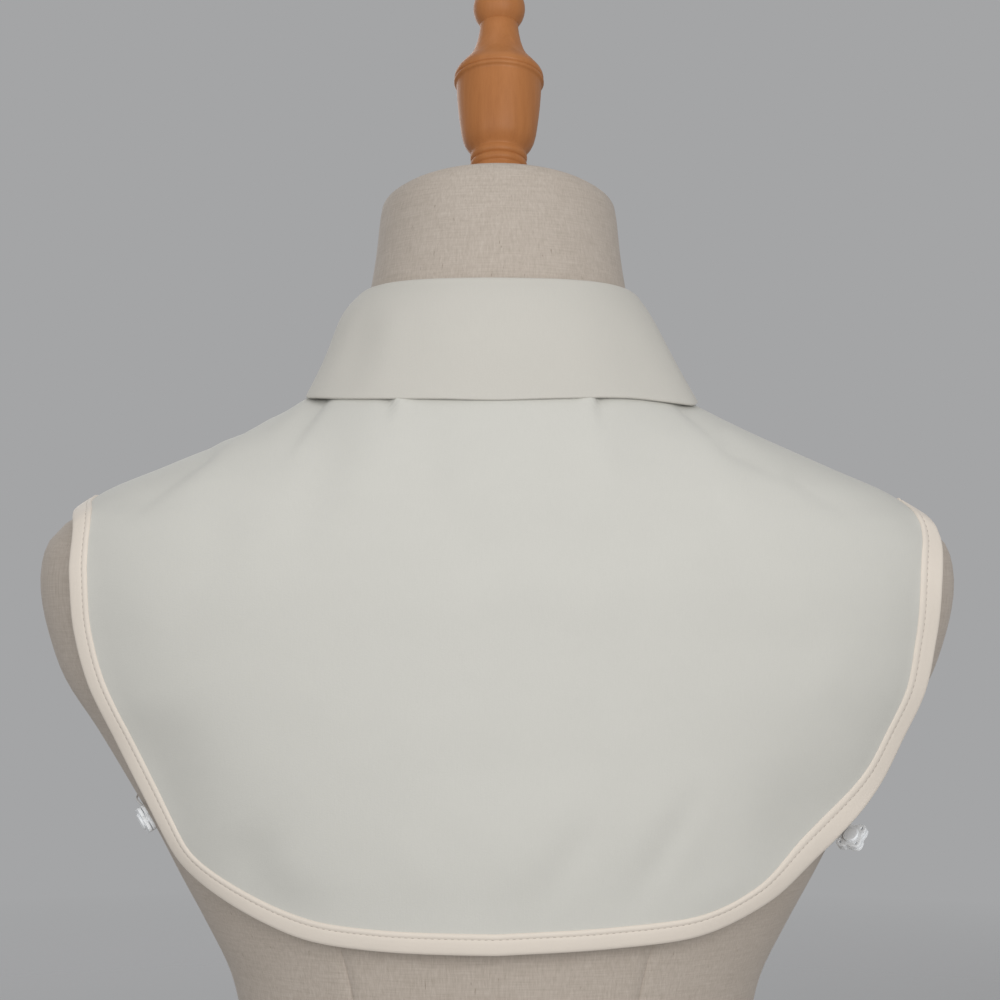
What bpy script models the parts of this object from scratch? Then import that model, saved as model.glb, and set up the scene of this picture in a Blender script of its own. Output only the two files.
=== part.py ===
# Detachable shirt collar, worn on a limbless dress form: a back bib and two front bibs
# edged with bias binding, a collar stand, a turned-down collar, side loops with press studs.
# The origin is the centre of the form's flat base, +Z is up and the back faces +Y.
# Tables and constants are in millimetres and degrees; "turn" is the angle round the body:
# -90 centre front, 0 the wearer's left side (+X), 90 centre back, 180 the right side.

import math
from collections import namedtuple

import bmesh
import bpy
from mathutils import Matrix, Vector

MM = 0.001

# ---------- driving dimensions ----------
SEAM_GAP = 0.3
CLOTH_CLEAR = 1.6        # the cloth's inner face above the form
CLOTH_WALL = 1.0
STAND_WALL = 1.4
FALL_WALL = 1.2
FALL_LIFT = 3.9          # the middle of the collar's lower edge above the form
BACK_BOW = 1.4           # outward curve of the collar just below its fold
LEFT_BOW = 2.2
RIGHT_BOW = 0.8
ROLL_RADIUS = 1.3        # the collar's roll at its fold, to the middle of the cloth
OVERLAP_LIFT = 1.9       # the stand's right end lies on its left end
BIB_STATIONS = 24
BIB_STEPS = 12
BINDING_WIDTH = 9.0
PLACKET_WIDTH = 24.0
SHOULDER_SEAM = 4.0      # turn of the shoulder seam, just behind the ridge
CENTRE_FRONT = -89.7     # turn of the front bib's centre edge
NECK_SPREAD = 0.5        # the neckline's share of a bib's stations grows with this power
NECK_LEAN = 13.5
BUST_RISE = 13.0
BUST_HALF_SPACING = 72.0
BUST_HEIGHT = 380.0
BUST_RADIUS = 40.0
LOOP_RADIUS = 0.6
LOOP_CLEAR = 2.8         # from an eyelet's middle to the end of its loop, clear of the plate
STUD_SIZE = 8.0          # between the eyelets of a press stud
STUD_RADIUS = 6.8
STUD_WAIST = 4.9         # from a stud's middle to the deepest point of each hollow side
STUD_HOLLOW = 14.0       # from a stud's middle to the centre of each hollow side's curve
STUD_PLATE = 1.1
STUD_SPACE = 0.9         # between the two plates of a closed stud
BUTTON_RADIUS = 5.2
BUTTON_HEIGHTS = [468.0, 418.0, 368.0, 322.0]

# ---------- the form's sections, from its base to the top of its neck ----------
# tilt: forward lean of the section's plane; back and front: its reach from its centre's Y
Section = namedtuple("Section", "height tilt half_width back front centre")
FORM_SECTIONS = [
    Section(0, 0, 126, 86, 92, 0),
    Section(4, 0, 130.5, 90, 96.5, 0),
    Section(30, 0, 132.5, 91.5, 98, 0),
    Section(60, 0, 131, 91, 98, 0),
    Section(90, 0, 126.5, 88, 96.5, 0),
    Section(120, 0, 118.5, 82, 94, 0),
    Section(150, 0, 109, 75, 91, 0),
    Section(178, 0, 102.5, 69, 88, 0),
    Section(205, 0, 100, 66.5, 86.5, 0),
    Section(232, 0, 102.5, 66.5, 87, 0),
    Section(258, 0, 104.5, 68.5, 89.5, 0),
    Section(280, 0, 109.5, 71.5, 93, 0),
    Section(300, 0, 119.5, 74.5, 97, 0),
    Section(320, 0, 130.7, 77.5, 100, 0),
    Section(340, 0, 141.5, 80.5, 103, 0),
    Section(360, 0, 153.5, 83.5, 105, 0),
    Section(380, 0, 166, 86, 106, 0),
    Section(400, 0, 179.5, 87.5, 105, 0),
    Section(420, 0, 187, 88, 101, 0),
    Section(436, 0, 190.3, 87.5, 96, 0),
    Section(448, 0, 190, 86, 91, 0),
    Section(457, 0, 187, 84.5, 86, 0),
    Section(464, 0, 180.5, 83, 81, 0),
    Section(469, 0.3, 172.5, 81.5, 76.5, 0.2),
    Section(476.3, 1, 160.5, 79, 71, 0.5),
    Section(485.5, 1.8, 137.8, 75.5, 64, 1),
    Section(495, 3.3, 114.5, 71, 56.5, 2),
    Section(504.5, 5, 93, 65.5, 51.5, 3),
    Section(514.5, 7, 74, 59, 49.5, 3.5),
    Section(525, 9, 65, 53.5, 49.5, 3),
    Section(538, 10.8, 60, 51, 50, 1),
    Section(555, 12, 55.5, 50, 50, -2),
    Section(575, 13, 52.3, 50, 50, -6),
    Section(594, 13.5, 50.6, 49.2, 49.2, -10.5),
    Section(598, 13.5, 50, 48.8, 48.8, -11.6),
    Section(599.5, 13.5, 48, 47, 47, -12),
]

# ---------- outlines of the bibs, from the shoulder tip to the centre of the hem ----------
# the back bib hangs a little towards the right, so its two sides have their own edges;
# the right one's turn is taken from the wearer's right side
Edge = namedtuple("Edge", "along height turn")
LEFT_BACK_EDGE = [
    Edge(0, 468.3, SHOULDER_SEAM),
    Edge(1, 459.5, 24.0),
    Edge(2, 442.0, 28.4),
    Edge(3, 417.0, 27.9),
    Edge(4, 392.0, 27.8),
    Edge(5, 367.0, 26.8),
    Edge(6, 346.0, 28.2),
    Edge(7, 330.5, 31.5),
    Edge(8, 317.5, 41.0),
    Edge(9, 307.0, 54.0),
    Edge(10, 303.0, 70.0),
    Edge(11, 302.2, 90.0),
]
RIGHT_BACK_EDGE = [
    Edge(0, 468.3, SHOULDER_SEAM),
    Edge(1, 459.5, 17.0),
    Edge(2, 442.0, 23.0),
    Edge(3, 417.0, 22.0),
    Edge(4, 392.0, 20.2),
    Edge(5, 367.0, 21.0),
    Edge(6, 346.5, 26.8),
    Edge(7, 331.0, 34.2),
    Edge(8, 318.2, 42.8),
    Edge(9, 308.4, 54.2),
    Edge(10, 304.5, 70.0),
    Edge(11, 302.2, 90.0),
]
FRONT_EDGE = [
    Edge(0, 468.3, SHOULDER_SEAM - SEAM_GAP),
    Edge(1, 459.5, -12.0),
    Edge(2, 442.0, -22.0),
    Edge(3, 417.0, -25.5),
    Edge(4, 392.0, -26.5),
    Edge(5, 368.0, -26.5),
    Edge(6, 346.0, -28.0),
    Edge(7, 328.5, -34.0),
    Edge(8, 315.0, -44.0),
    Edge(9, 306.0, -57.0),
    Edge(10, 302.0, -72.0),
    Edge(11, 301.0, CENTRE_FRONT),
]

# how far the cloth swings off the form below its fullest part, at each side and in the middle
Hang = namedtuple("Hang", "start length left right middle")
BACK_HANG = Hang(425, 100, 5.0, 12.0, 6.5)
FRONT_HANG = Hang(372, 70, 5.0, 5.0, 15.0)

# soft folds of the back bib: the line each follows, its breadth and its rise off the form
Fold = namedtuple("Fold", "top_x top_height end_x end_height breadth rise")
BACK_FOLDS = [
    Fold(41, 506, 45, 452, 7, 1.6),
    Fold(-38, 506, -44, 452, 7, 1.6),
    Fold(80, 503, 140, 468, 10, 2.0),
    Fold(-34, 380, 4, 312, 16, 2.0),
    Fold(-68, 378, -52, 316, 14, 1.6),
    Fold(88, 344, 70, 314, 13, 1.6),
]

# collar fall: where the lower edge lies for each turn of the fold
Drop = namedtuple("Drop", "turn edge_turn edge_height")
FALL_EDGE = [
    Drop(-83, -76.0, 452),
    Drop(-70, -70.5, 465),
    Drop(-45, -57.0, 487),
    Drop(-20, -31.0, 504.5),
    Drop(0, 3.0, 512.5),
    Drop(20, 32.0, 507.5),
    Drop(45, 55.5, 504.4),
    Drop(68, 74.0, 503.3),
    Drop(90, 90.0, 502.8),
    Drop(112, 106.0, 503.7),
    Drop(135, 124.5, 504.8),
    Drop(158, 145.5, 504.6),
    Drop(169, 158.0, 507.0),
    Drop(180, 174.0, 509.5),
    Drop(200, 211.0, 504),
    Drop(225, 237.0, 487),
    Drop(250, 250.5, 465),
    Drop(263, 256.0, 452),
]

# heights of the neckline seam and of the collar's fold: at the sides, centre back, centre front
RingHeights = namedtuple("RingHeights", "side back front")
NECKLINE = RingHeights(531, 521, 498)
FOLD_LINE = RingHeights(556.5, 549.5, 531)

# binding: a closed section as distance in from the edge and lift off the cloth's inner face
Nib = namedtuple("Nib", "inset lift")
BINDING_SECTION = [
    Nib(0.3, 0.0), Nib(8.7, 0.0), Nib(9.0, 1.0), Nib(8.2, 1.8),
    Nib(4.5, 2.1), Nib(0.9, 1.9), Nib(0.0, 1.0),
]

# turned finial, from its knob down to its foot: radius and height above the neck
Turning = namedtuple("Turning", "radius height")
KNOB_RADIUS = 11.5
KNOB_HEIGHT = 98.5
FINIAL_STEM = [
    Turning(8.6, 90.4), Turning(9.0, 85.5), Turning(9.9, 80.5), Turning(11.6, 76.0),
    Turning(14.4, 72.0), Turning(18.0, 69.0), Turning(19.8, 67.3), Turning(20.5, 65.0),
    Turning(20.2, 62.6), Turning(19.4, 61.5), Turning(19.6, 60.0), Turning(18.9, 55.5),
    Turning(17.4, 49.0), Turning(15.6, 41.8), Turning(13.3, 35.0), Turning(11.7, 30.4),
    Turning(12.6, 28.2), Turning(12.2, 26.0), Turning(11.5, 25.3), Turning(12.5, 23.6),
    Turning(12.0, 21.5), Turning(11.2, 20.8), Turning(12.2, 18.5), Turning(14.5, 11.0),
    Turning(17.0, 5.0), Turning(17.6, 1.5), Turning(17.0, 0.0),
]

# press studs: place round the form, the way their outer plate faces and the way of one side
StudPlace = namedtuple("StudPlace", "name turn height lift face along")
STUDS = [
    StudPlace("left", 22.4, 348.0, 6.4, Vector((0.82, 0.31, -0.48)), Vector((-0.51, 0.0, -0.86))),
    StudPlace("right", 160.0, 343.2, 10.0, Vector((0.49, 0.58, 0.66)), Vector((-0.43, -0.50, 0.76))),
]

# ---------- colours ----------
CREAM = (0.74, 0.72, 0.66, 1.0)
BINDING_CREAM = (0.80, 0.74, 0.66, 1.0)
LINEN = (0.52, 0.46, 0.40, 1.0)
WOOD = (0.45, 0.19, 0.075, 1.0)
WHITE_PLASTIC = (0.80, 0.82, 0.84, 1.0)


# ---------- tables and curves ----------
def slope_of(rows, index, column):
    """Slope of a column at a row, from the rows on either side."""
    before = rows[max(index - 1, 0)]
    after = rows[min(index + 1, len(rows) - 1)]
    return (after[column] - before[column]) / (after[0] - before[0])


def row_at(rows, value):
    """A table's row at any value of its first column, on a smooth curve through its rows."""
    index = 0
    while index < len(rows) - 2 and rows[index + 1][0] < value:
        index += 1
    start, end = rows[index], rows[index + 1]
    step = end[0] - start[0]
    t = (value - start[0]) / step
    rise = t * t * (3 - 2 * t)
    lead = t * (1 - t) ** 2 * step
    trail = t * t * (t - 1) * step
    fields = []
    for column, first in enumerate(start):
        field = first + (end[column] - first) * rise
        field += slope_of(rows, index, column) * lead
        field += slope_of(rows, index + 1, column) * trail
        fields.append(field)
    return type(start)(*fields)


def smooth_step(value):
    """0 below 0, 1 above 1, and an even S between."""
    t = min(max(value, 0.0), 1.0)
    return t * t * (3 - 2 * t)


def mix(first, second, share):
    return first + (second - first) * share


def spread(start, end, count):
    """Evenly spaced values, both ends included."""
    return [mix(start, end, index / (count - 1)) for index in range(count)]


def ring_height(ring, turn):
    """Height of a line round the neck, level across the sides."""
    depth = math.sin(math.radians(turn))
    middle = ring.back if depth > 0 else ring.front
    return mix(ring.side, middle, depth * depth)


# ---------- the figure ----------
def bust_rise(across, height, bridged):
    """Fullness of the front; bridged cloth spans it from side to side."""
    aside = abs(across) - BUST_HALF_SPACING
    if bridged and aside < 0:
        aside = 0.0
    above = height - BUST_HEIGHT
    return BUST_RISE * math.exp(-(aside * aside + above * above) / (2 * BUST_RADIUS ** 2))


def figure_point(turn, height, bridged=False):
    """Point of the form's surface."""
    section = row_at(FORM_SECTIONS, height)
    angle = math.radians(turn)
    across = section.half_width * math.cos(angle)
    reach = section.back if math.sin(angle) > 0 else section.front
    depth = reach * math.sin(angle)
    if depth < 0:
        depth -= bust_rise(across, height, bridged) * math.sin(angle) ** 2
    tilt = math.radians(section.tilt)
    behind = section.centre + depth * math.cos(tilt)
    return Vector((across, behind, section.height + depth * math.sin(tilt)))


def outward(turn, height):
    """Unit normal of the figure that the cloth lies on."""
    step = 0.4
    around = figure_point(turn + step, height, True) - figure_point(turn - step, height, True)
    upward = figure_point(turn, height + step, True) - figure_point(turn, height - step, True)
    return around.cross(upward).normalized()


def fold_rise(x, height):
    """Rise of the back bib's soft folds at a place on it."""
    rise = 0.0
    for fold in BACK_FOLDS:
        line = Vector((fold.end_x - fold.top_x, fold.end_height - fold.top_height))
        place = Vector((x - fold.top_x, height - fold.top_height))
        along = place.dot(line) / line.length_squared
        beside = (place - line * along).length
        fade = smooth_step(along * 4) * smooth_step((1 - along) * 2)
        rise += fold.rise * fade * math.exp(-(beside / fold.breadth) ** 2)
    return rise


def cloth_point(turn, height, lift, hang, side=1):
    """Point of the cloth: lift is measured from its inner face; side is -1 on the right."""
    middle = abs(math.sin(math.radians(turn)))
    swing = mix(hang.left if side > 0 else hang.right, hang.middle, middle)
    clear = CLOTH_CLEAR + swing * smooth_step((hang.start - height) / hang.length)
    point = figure_point(turn, height, True)
    if hang is BACK_HANG:
        clear += fold_rise(side * point.x, height)
    point += outward(turn, height) * (clear + lift)
    point.x *= side
    return point


# ---------- bib outlines ----------
def neck_place(edges, along):
    """Turn and height of the neckline point that faces a place on the bib's edge."""
    share = (along / edges[-1].along) ** NECK_SPREAD
    turn = mix(edges[0].turn, edges[-1].turn, share)
    return turn, ring_height(NECKLINE, turn)


def edge_place(edges, hang, along, inset):
    """Turn and height at a distance in from a bib's edge, square to the edge."""
    edge, ahead, behind = (row_at(edges, along + shift) for shift in (0, 0.02, -0.02))
    tangent = (cloth_point(ahead.turn, ahead.height, 0, hang)
               - cloth_point(behind.turn, behind.height, 0, hang)).normalized()
    if hang is FRONT_HANG:
        tangent.negate()
    turn, height = edge.turn, edge.height
    strides = 3
    for _ in range(strides):
        here = cloth_point(turn, height, 0, hang)
        per_turn = cloth_point(turn + 0.2, height, 0, hang) - here
        per_height = cloth_point(turn, height + 0.2, 0, hang) - here
        turn_share = -per_height.dot(tangent)
        height_share = per_turn.dot(tangent)
        stride = (per_turn * turn_share + per_height * height_share).length
        scale = 0.2 * inset / strides / stride
        turn += turn_share * scale
        height += height_share * scale
    at_end = along in (edges[0].along, edges[-1].along)
    return (edge.turn if at_end else turn), height


def bib_rows(edges, hang, side=1):
    """Inner face of half a bib: a row of points from edge to neckline at each station."""
    rows = []
    for along in spread(0, edges[-1].along, BIB_STATIONS):
        low = edge_place(edges, hang, along, BINDING_WIDTH + SEAM_GAP)
        high = neck_place(edges, along)
        row = []
        for share in spread(0, 1, BIB_STEPS):
            turn, height = mix(low[0], high[0], share), mix(low[1], high[1], share)
            row.append(cloth_point(turn, height, 0, hang, side))
        rows.append(row)
    return rows


def binding_loops(edges, hang, side=1):
    """Closed sections of the binding along half a bib's edge."""
    loops = []
    for along in spread(0, edges[-1].along, BIB_STATIONS):
        loop = []
        for nib in BINDING_SECTION:
            turn, height = edge_place(edges, hang, along, nib.inset)
            loop.append(cloth_point(turn, height, nib.lift, hang, side))
        loops.append(loop)
    return loops


def mirrored(rows):
    """The same rows on the wearer's other side, in the same order round the body."""
    return [[Vector((-point.x, point.y, point.z)) for point in row] for row in reversed(rows)]


# ---------- scene helpers ----------
def clear_scene():
    for item in list(bpy.data.objects):
        bpy.data.objects.remove(item, do_unlink=True)


def new_collection(name):
    collection = bpy.data.collections.new(name)
    bpy.context.scene.collection.children.link(collection)
    return collection


def new_material(name, colour, roughness, metallic=0.0):
    material = bpy.data.materials.new(name)
    material.use_nodes = True
    shader = material.node_tree.nodes["Principled BSDF"]
    shader.inputs["Base Color"].default_value = colour
    shader.inputs["Roughness"].default_value = roughness
    shader.inputs["Metallic"].default_value = metallic
    material.diffuse_color = colour
    return material


def object_from_bmesh(name, mesh_data, collection, material):
    """Object from a bmesh in millimetres, shaded smooth."""
    bmesh.ops.scale(mesh_data, vec=(MM, MM, MM), verts=mesh_data.verts)
    mesh = bpy.data.meshes.new(name)
    mesh_data.to_mesh(mesh)
    mesh_data.free()
    mesh.shade_smooth()
    mesh.set_sharp_from_angle(angle=math.radians(35))
    mesh.materials.append(material)
    item = bpy.data.objects.new(name, mesh)
    collection.objects.link(item)
    return item


def lofted(name, rows, collection, material, closed=False):
    """Surface through rows of points; closed rows are rings, and the ends are capped."""
    mesh_data = bmesh.new()
    grid = [[mesh_data.verts.new(point) for point in row] for row in rows]
    spans = len(rows[0]) if closed else len(rows[0]) - 1
    for near, far in zip(grid, grid[1:]):
        for index in range(spans):
            after = (index + 1) % len(near)
            mesh_data.faces.new((near[index], far[index], far[after], near[after]))
    if closed:
        mesh_data.faces.new(grid[0])
        mesh_data.faces.new(grid[-1])
        bmesh.ops.recalc_face_normals(mesh_data, faces=mesh_data.faces)
    return object_from_bmesh(name, mesh_data, collection, material)


def thicken(item, wall, offset):
    solid = item.modifiers.new("Wall", "SOLIDIFY")
    solid.thickness = wall * MM
    solid.offset = offset
    solid.use_even_offset = True


def add_screw(item, steps):
    screw = item.modifiers.new("Turn", "SCREW")
    screw.steps = steps
    screw.render_steps = steps
    screw.use_merge_vertices = True
    screw.merge_threshold = 0.00001
    screw.use_normal_calculate = True


def turned(name, profile, steps, collection, material):
    """Solid of revolution about Z from (radius, height) points, top to bottom."""
    mesh_data = bmesh.new()
    points = [mesh_data.verts.new((radius, 0, height)) for radius, height in profile]
    for upper, lower in zip(points, points[1:]):
        mesh_data.edges.new((upper, lower))
    item = object_from_bmesh(name, mesh_data, collection, material)
    add_screw(item, steps)
    return item


def cylinder_mesh(name, radius, low, high, segments, place=(0.0, 0.0)):
    """Mesh of an upright cylinder between two heights, millimetres in and metres out."""
    mesh_data = bmesh.new()
    centre = Matrix.Translation((place[0], place[1], (low + high) / 2))
    bmesh.ops.create_cone(mesh_data, cap_ends=True, segments=segments, radius1=radius,
                          radius2=radius, depth=high - low, matrix=centre)
    bmesh.ops.scale(mesh_data, vec=(MM, MM, MM), verts=mesh_data.verts)
    mesh = bpy.data.meshes.new(name)
    mesh_data.to_mesh(mesh)
    mesh_data.free()
    return mesh


def add_boolean(item, cutters, name, mesh, operation):
    """Boolean with a helper object that moves with the item and is left out of the model."""
    helper = bpy.data.objects.new(name, mesh)
    cutters.objects.link(helper)
    helper.hide_render = True
    helper.display_type = "WIRE"
    helper.parent = item
    boolean = item.modifiers.new(operation.title(), "BOOLEAN")
    boolean.operation = operation
    boolean.solver = "EXACT"
    boolean.object = helper


def facing(direction, roll):
    """Rotation that turns +Z to a direction, with a roll about it."""
    return direction.to_track_quat("Z", "X").to_matrix().to_4x4() @ Matrix.Rotation(
        math.radians(roll), 4, "Z")


# ---------- the form ----------
def make_form(collection, linen, wood):
    heights = [section.height for section in FORM_SECTIONS]
    columns = 44
    rings = []
    for height in heights:
        rings.append([figure_point(360 * index / columns, height) for index in range(columns)])
    lofted("form_torso", rings, collection, linen, closed=True)

    profile = []
    lowest = math.acos((FINIAL_STEM[0].height - KNOB_HEIGHT) / KNOB_RADIUS)
    for angle in spread(0, lowest, 7)[:-1]:
        profile.append((KNOB_RADIUS * math.sin(angle), KNOB_HEIGHT + KNOB_RADIUS * math.cos(angle)))
    profile += [tuple(row) for row in FINIAL_STEM]
    profile.append((0.0, 0.0))
    finial = turned("finial", profile, 20, collection, wood)
    top = FORM_SECTIONS[-1]
    lean = math.radians(NECK_LEAN)
    above = Vector((0, -math.sin(lean), math.cos(lean))) * SEAM_GAP
    finial.location = (Vector((0, top.centre, top.height)) + above) * MM
    finial.rotation_euler = (lean, 0, 0)


# ---------- bibs, binding and placket ----------
def make_bibs(collection, cream, trim):
    back_rows = bib_rows(LEFT_BACK_EDGE, BACK_HANG)[:-1]
    back_rows += reversed(bib_rows(RIGHT_BACK_EDGE, BACK_HANG, -1))
    thicken(lofted("back_bib", back_rows, collection, cream), CLOTH_WALL, 1.0)

    front = bib_rows(FRONT_EDGE, FRONT_HANG)
    front.reverse()
    thicken(lofted("front_bib_left", front, collection, cream), CLOTH_WALL, 1.0)
    thicken(lofted("front_bib_right", mirrored(front), collection, cream), CLOTH_WALL, 1.0)

    back_loops = binding_loops(LEFT_BACK_EDGE, BACK_HANG)[:-1]
    back_loops += reversed(binding_loops(RIGHT_BACK_EDGE, BACK_HANG, -1))
    lofted("back_binding", back_loops, collection, trim, closed=True)
    front_loops = binding_loops(FRONT_EDGE, FRONT_HANG)
    lofted("front_binding_left", front_loops, collection, trim, closed=True)
    lofted("front_binding_right", mirrored(front_loops), collection, trim, closed=True)


def make_placket(collection, cream):
    """Buttoned strip over the meeting edges of the two front bibs."""
    lift = CLOTH_WALL + SEAM_GAP
    low = edge_place(FRONT_EDGE, FRONT_HANG, FRONT_EDGE[-1].along, BINDING_WIDTH + SEAM_GAP)[1]
    heights = spread(low, NECKLINE.front, BIB_STEPS)
    heights[0] += SEAM_GAP
    heights[-1] -= SEAM_GAP
    rows = []
    for across in spread(-PLACKET_WIDTH / 2, PLACKET_WIDTH / 2, 5):
        row = []
        for height in heights:
            half_width = row_at(FORM_SECTIONS, height).half_width
            turn = -90 + math.degrees(math.asin(across / half_width))
            row.append(cloth_point(turn, height, lift, FRONT_HANG))
        rows.append(row)
    thicken(lofted("front_placket", rows, collection, cream), CLOTH_WALL, 1.0)


# ---------- collar ----------
def overlap_lift(turn):
    """The stand's right end rises to pass over its left end."""
    return OVERLAP_LIFT * smooth_step((turn - 236) / 20)


def neck_frame(turn, height):
    """A point of the neck with the directions out of it and up it."""
    point = figure_point(turn, height)
    out = outward(turn, height)
    around = figure_point(turn + 0.5, height) - figure_point(turn - 0.5, height)
    return point, out, out.cross(around).normalized()


def make_stand(collection, cream):
    rows = []
    for turn in spread(-99, 279, 40):
        low = ring_height(NECKLINE, turn) + SEAM_GAP
        high = ring_height(FOLD_LINE, turn) - ROLL_RADIUS - FALL_WALL / 2 - 1.5
        row = []
        for height in spread(low, high, 4):
            point, out, _ = neck_frame(turn, height)
            row.append(point + out * (CLOTH_CLEAR + overlap_lift(turn)))
        rows.append(row)
    thicken(lofted("collar_stand", rows, collection, cream), STAND_WALL, 1.0)


def fall_edge(turn):
    """Middle of the collar's lower edge for a turn of its fold."""
    drop = row_at(FALL_EDGE, turn)
    point = figure_point(drop.edge_turn, drop.edge_height, True)
    return point + outward(drop.edge_turn, drop.edge_height) * FALL_LIFT


def make_fall(collection, cream):
    start_out = CLOTH_CLEAR + STAND_WALL / 2
    rows = []
    for turn in spread(-83, 263, 37):
        base, out, up = neck_frame(turn, ring_height(FOLD_LINE, turn) - ROLL_RADIUS - FALL_WALL / 2)
        base += out * (start_out + overlap_lift(turn))
        roll = []
        for angle in spread(0, 180, 5):
            side = ROLL_RADIUS * math.cos(math.radians(angle))
            rise = ROLL_RADIUS * math.sin(math.radians(angle))
            roll.append(base + out * (ROLL_RADIUS + side) + up * rise)
        inside = base - up * 0.9
        crest, edge = roll[0], fall_edge(turn)
        side_bow = LEFT_BOW if turn < 90 else RIGHT_BOW
        fullest = mix(BACK_BOW, side_bow, math.cos(math.radians(turn)) ** 2)
        row = []
        for share in spread(0, 1, 6)[:-1]:
            bow = fullest * 12.2 * share ** 4 * (1 - share)
            row.append(edge.lerp(crest, share) + out * bow)
        rows.append(row + roll + [inside])
    thicken(lofted("collar_fall", rows, collection, cream), FALL_WALL, 0.0)


# ---------- buttons ----------
def button_mesh_item(name, collection, cutters, plastic):
    """Four-hole button lying on z = 0, its rim raised."""
    profile = [(0.0, 1.4), (3.4, 1.4), (4.2, 2.0), (BUTTON_RADIUS, 1.4), (4.4, 0.0), (0.0, 0.0)]
    item = turned(name, profile, 14, collection, plastic)
    for index in range(4):
        angle = math.radians(45 + 90 * index)
        place = (1.5 * math.cos(angle), 1.5 * math.sin(angle))
        cutter = cylinder_mesh(name + "_hole", 0.6, -1, 4, 6, place)
        add_boolean(item, cutters, name + "_cutter_" + str(index + 1), cutter, "DIFFERENCE")
    return item


def make_buttons(collection, cutters, plastic):
    lift = 2 * CLOTH_WALL + 2 * SEAM_GAP + 0.2
    for index, height in enumerate(BUTTON_HEIGHTS):
        item = button_mesh_item("button_" + str(index + 1), collection, cutters, plastic)
        above = cloth_point(-90, height + BUTTON_RADIUS, lift, FRONT_HANG)
        below = cloth_point(-90, height - BUTTON_RADIUS, lift, FRONT_HANG)
        square = Vector((1, 0, 0)).cross(above - below).normalized()
        point = cloth_point(-90, height, lift, FRONT_HANG)
        item.matrix_world = Matrix.Translation(point * MM) @ facing(square, 0)
    item = button_mesh_item("button_collar", collection, cutters, plastic)
    height = (NECKLINE.front + FOLD_LINE.front) / 2 - 2
    point, out, _ = neck_frame(-90, height)
    lift = CLOTH_CLEAR + OVERLAP_LIFT + STAND_WALL + SEAM_GAP + 0.4
    item.matrix_world = Matrix.Translation((point + out * lift) * MM) @ facing(out, 0)


# ---------- press studs and side loops ----------
def cut_plate(item, cutters):
    """Cut a stud's round plate to a hollow-sided square with an eyelet in each corner."""
    for index in range(4):
        angle = math.radians(45 + 90 * index)
        reach = STUD_SIZE / math.sqrt(2)
        eyelet = (reach * math.cos(angle), reach * math.sin(angle))
        name = item.name + "_eyelet_" + str(index + 1)
        mesh = cylinder_mesh(name, 0.65, -1, STUD_PLATE + 1, 6, eyelet)
        add_boolean(item, cutters, name, mesh, "DIFFERENCE")
        angle += math.radians(45)
        side = (STUD_HOLLOW * math.cos(angle), STUD_HOLLOW * math.sin(angle))
        name = item.name + "_hollow_" + str(index + 1)
        mesh = cylinder_mesh(name, STUD_HOLLOW - STUD_WAIST, -1, STUD_PLATE + 1, 36, side)
        add_boolean(item, cutters, name, mesh, "DIFFERENCE")


def stud_frame(place):
    """Matrix of a closed stud: its middle, +Z the way its outer plate faces, +X along a side."""
    point = figure_point(place.turn, place.height)
    point += outward(place.turn, place.height) * place.lift
    face = place.face.normalized()
    across = face.cross(place.along).normalized()
    turn = Matrix((across.cross(face), across, face)).transposed().to_4x4()
    return Matrix.Translation(point * MM) @ turn


def make_stud(place, collection, cutters, plastic):
    """Closed press stud: the socket plate faces out and the ball plate faces the form."""
    frame = stud_frame(place)
    half = STUD_SPACE / 2
    plate = STUD_PLATE
    ring = SEAM_GAP - STUD_SPACE
    profile = [(0.0, plate + 0.7), (2.4, plate + 0.7), (2.8, plate), (STUD_RADIUS, plate),
               (STUD_RADIUS, 0.0), (2.8, 0.0), (2.8, ring), (1.75, ring), (1.75, 0.6), (0.0, 0.6)]
    socket = turned("stud_" + place.name + "_socket", profile, 20, collection, plastic)
    cut_plate(socket, cutters)
    socket.matrix_world = frame @ Matrix.Translation((0, 0, half * MM))

    tip = plate + STUD_SPACE + 0.2
    profile = [(0.0, tip), (1.2, tip), (1.4, tip - 0.3), (1.4, plate), (STUD_RADIUS, plate),
               (STUD_RADIUS, 0.0), (0.0, 0.0)]
    ball = turned("stud_" + place.name + "_ball", profile, 20, collection, plastic)
    cut_plate(ball, cutters)
    ball.matrix_world = frame @ Matrix.Translation((0, 0, -(half + plate) * MM))


def make_loop(place, collection, material):
    """Thin elastic from a stud's eyelet round the form's side to the front binding."""
    frame = stud_frame(place)
    depth = -(STUD_SPACE + STUD_PLATE) / 2
    eyelets = [frame @ (Vector((x, y, depth)) * MM) / MM
               for x in (-STUD_SIZE / 2, STUD_SIZE / 2) for y in (-STUD_SIZE / 2, STUD_SIZE / 2)]
    start = max(eyelets, key=lambda eyelet: eyelet.z)
    middle = sum(eyelets, Vector()) / len(eyelets)
    start += (start - middle).normalized() * LOOP_CLEAR
    side = 1 if place.name == "left" else -1
    start.x *= side
    end_turn, end_height = edge_place(FRONT_EDGE, FRONT_HANG, 6.0, 0)
    end = cloth_point(end_turn + 1.2, end_height + 1.0, 0.4, FRONT_HANG)
    route = [start]
    for turn, height in [(9, 354), (-4, 356), (-17, 354)]:
        route.append(figure_point(turn, height) + outward(turn, height) * 2.6)
    route.append(end)
    points = curve_through(route, 4)
    curve = bpy.data.curves.new("side_loop_" + place.name, "CURVE")
    curve.dimensions = "3D"
    curve.bevel_depth = LOOP_RADIUS * MM
    curve.bevel_resolution = 2
    curve.use_fill_caps = True
    spline = curve.splines.new("POLY")
    spline.points.add(len(points) - 1)
    for target, point in zip(spline.points, points):
        target.co = (side * point.x * MM, point.y * MM, point.z * MM, 1)
    item = bpy.data.objects.new(curve.name, curve)
    curve.materials.append(material)
    collection.objects.link(item)


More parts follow.
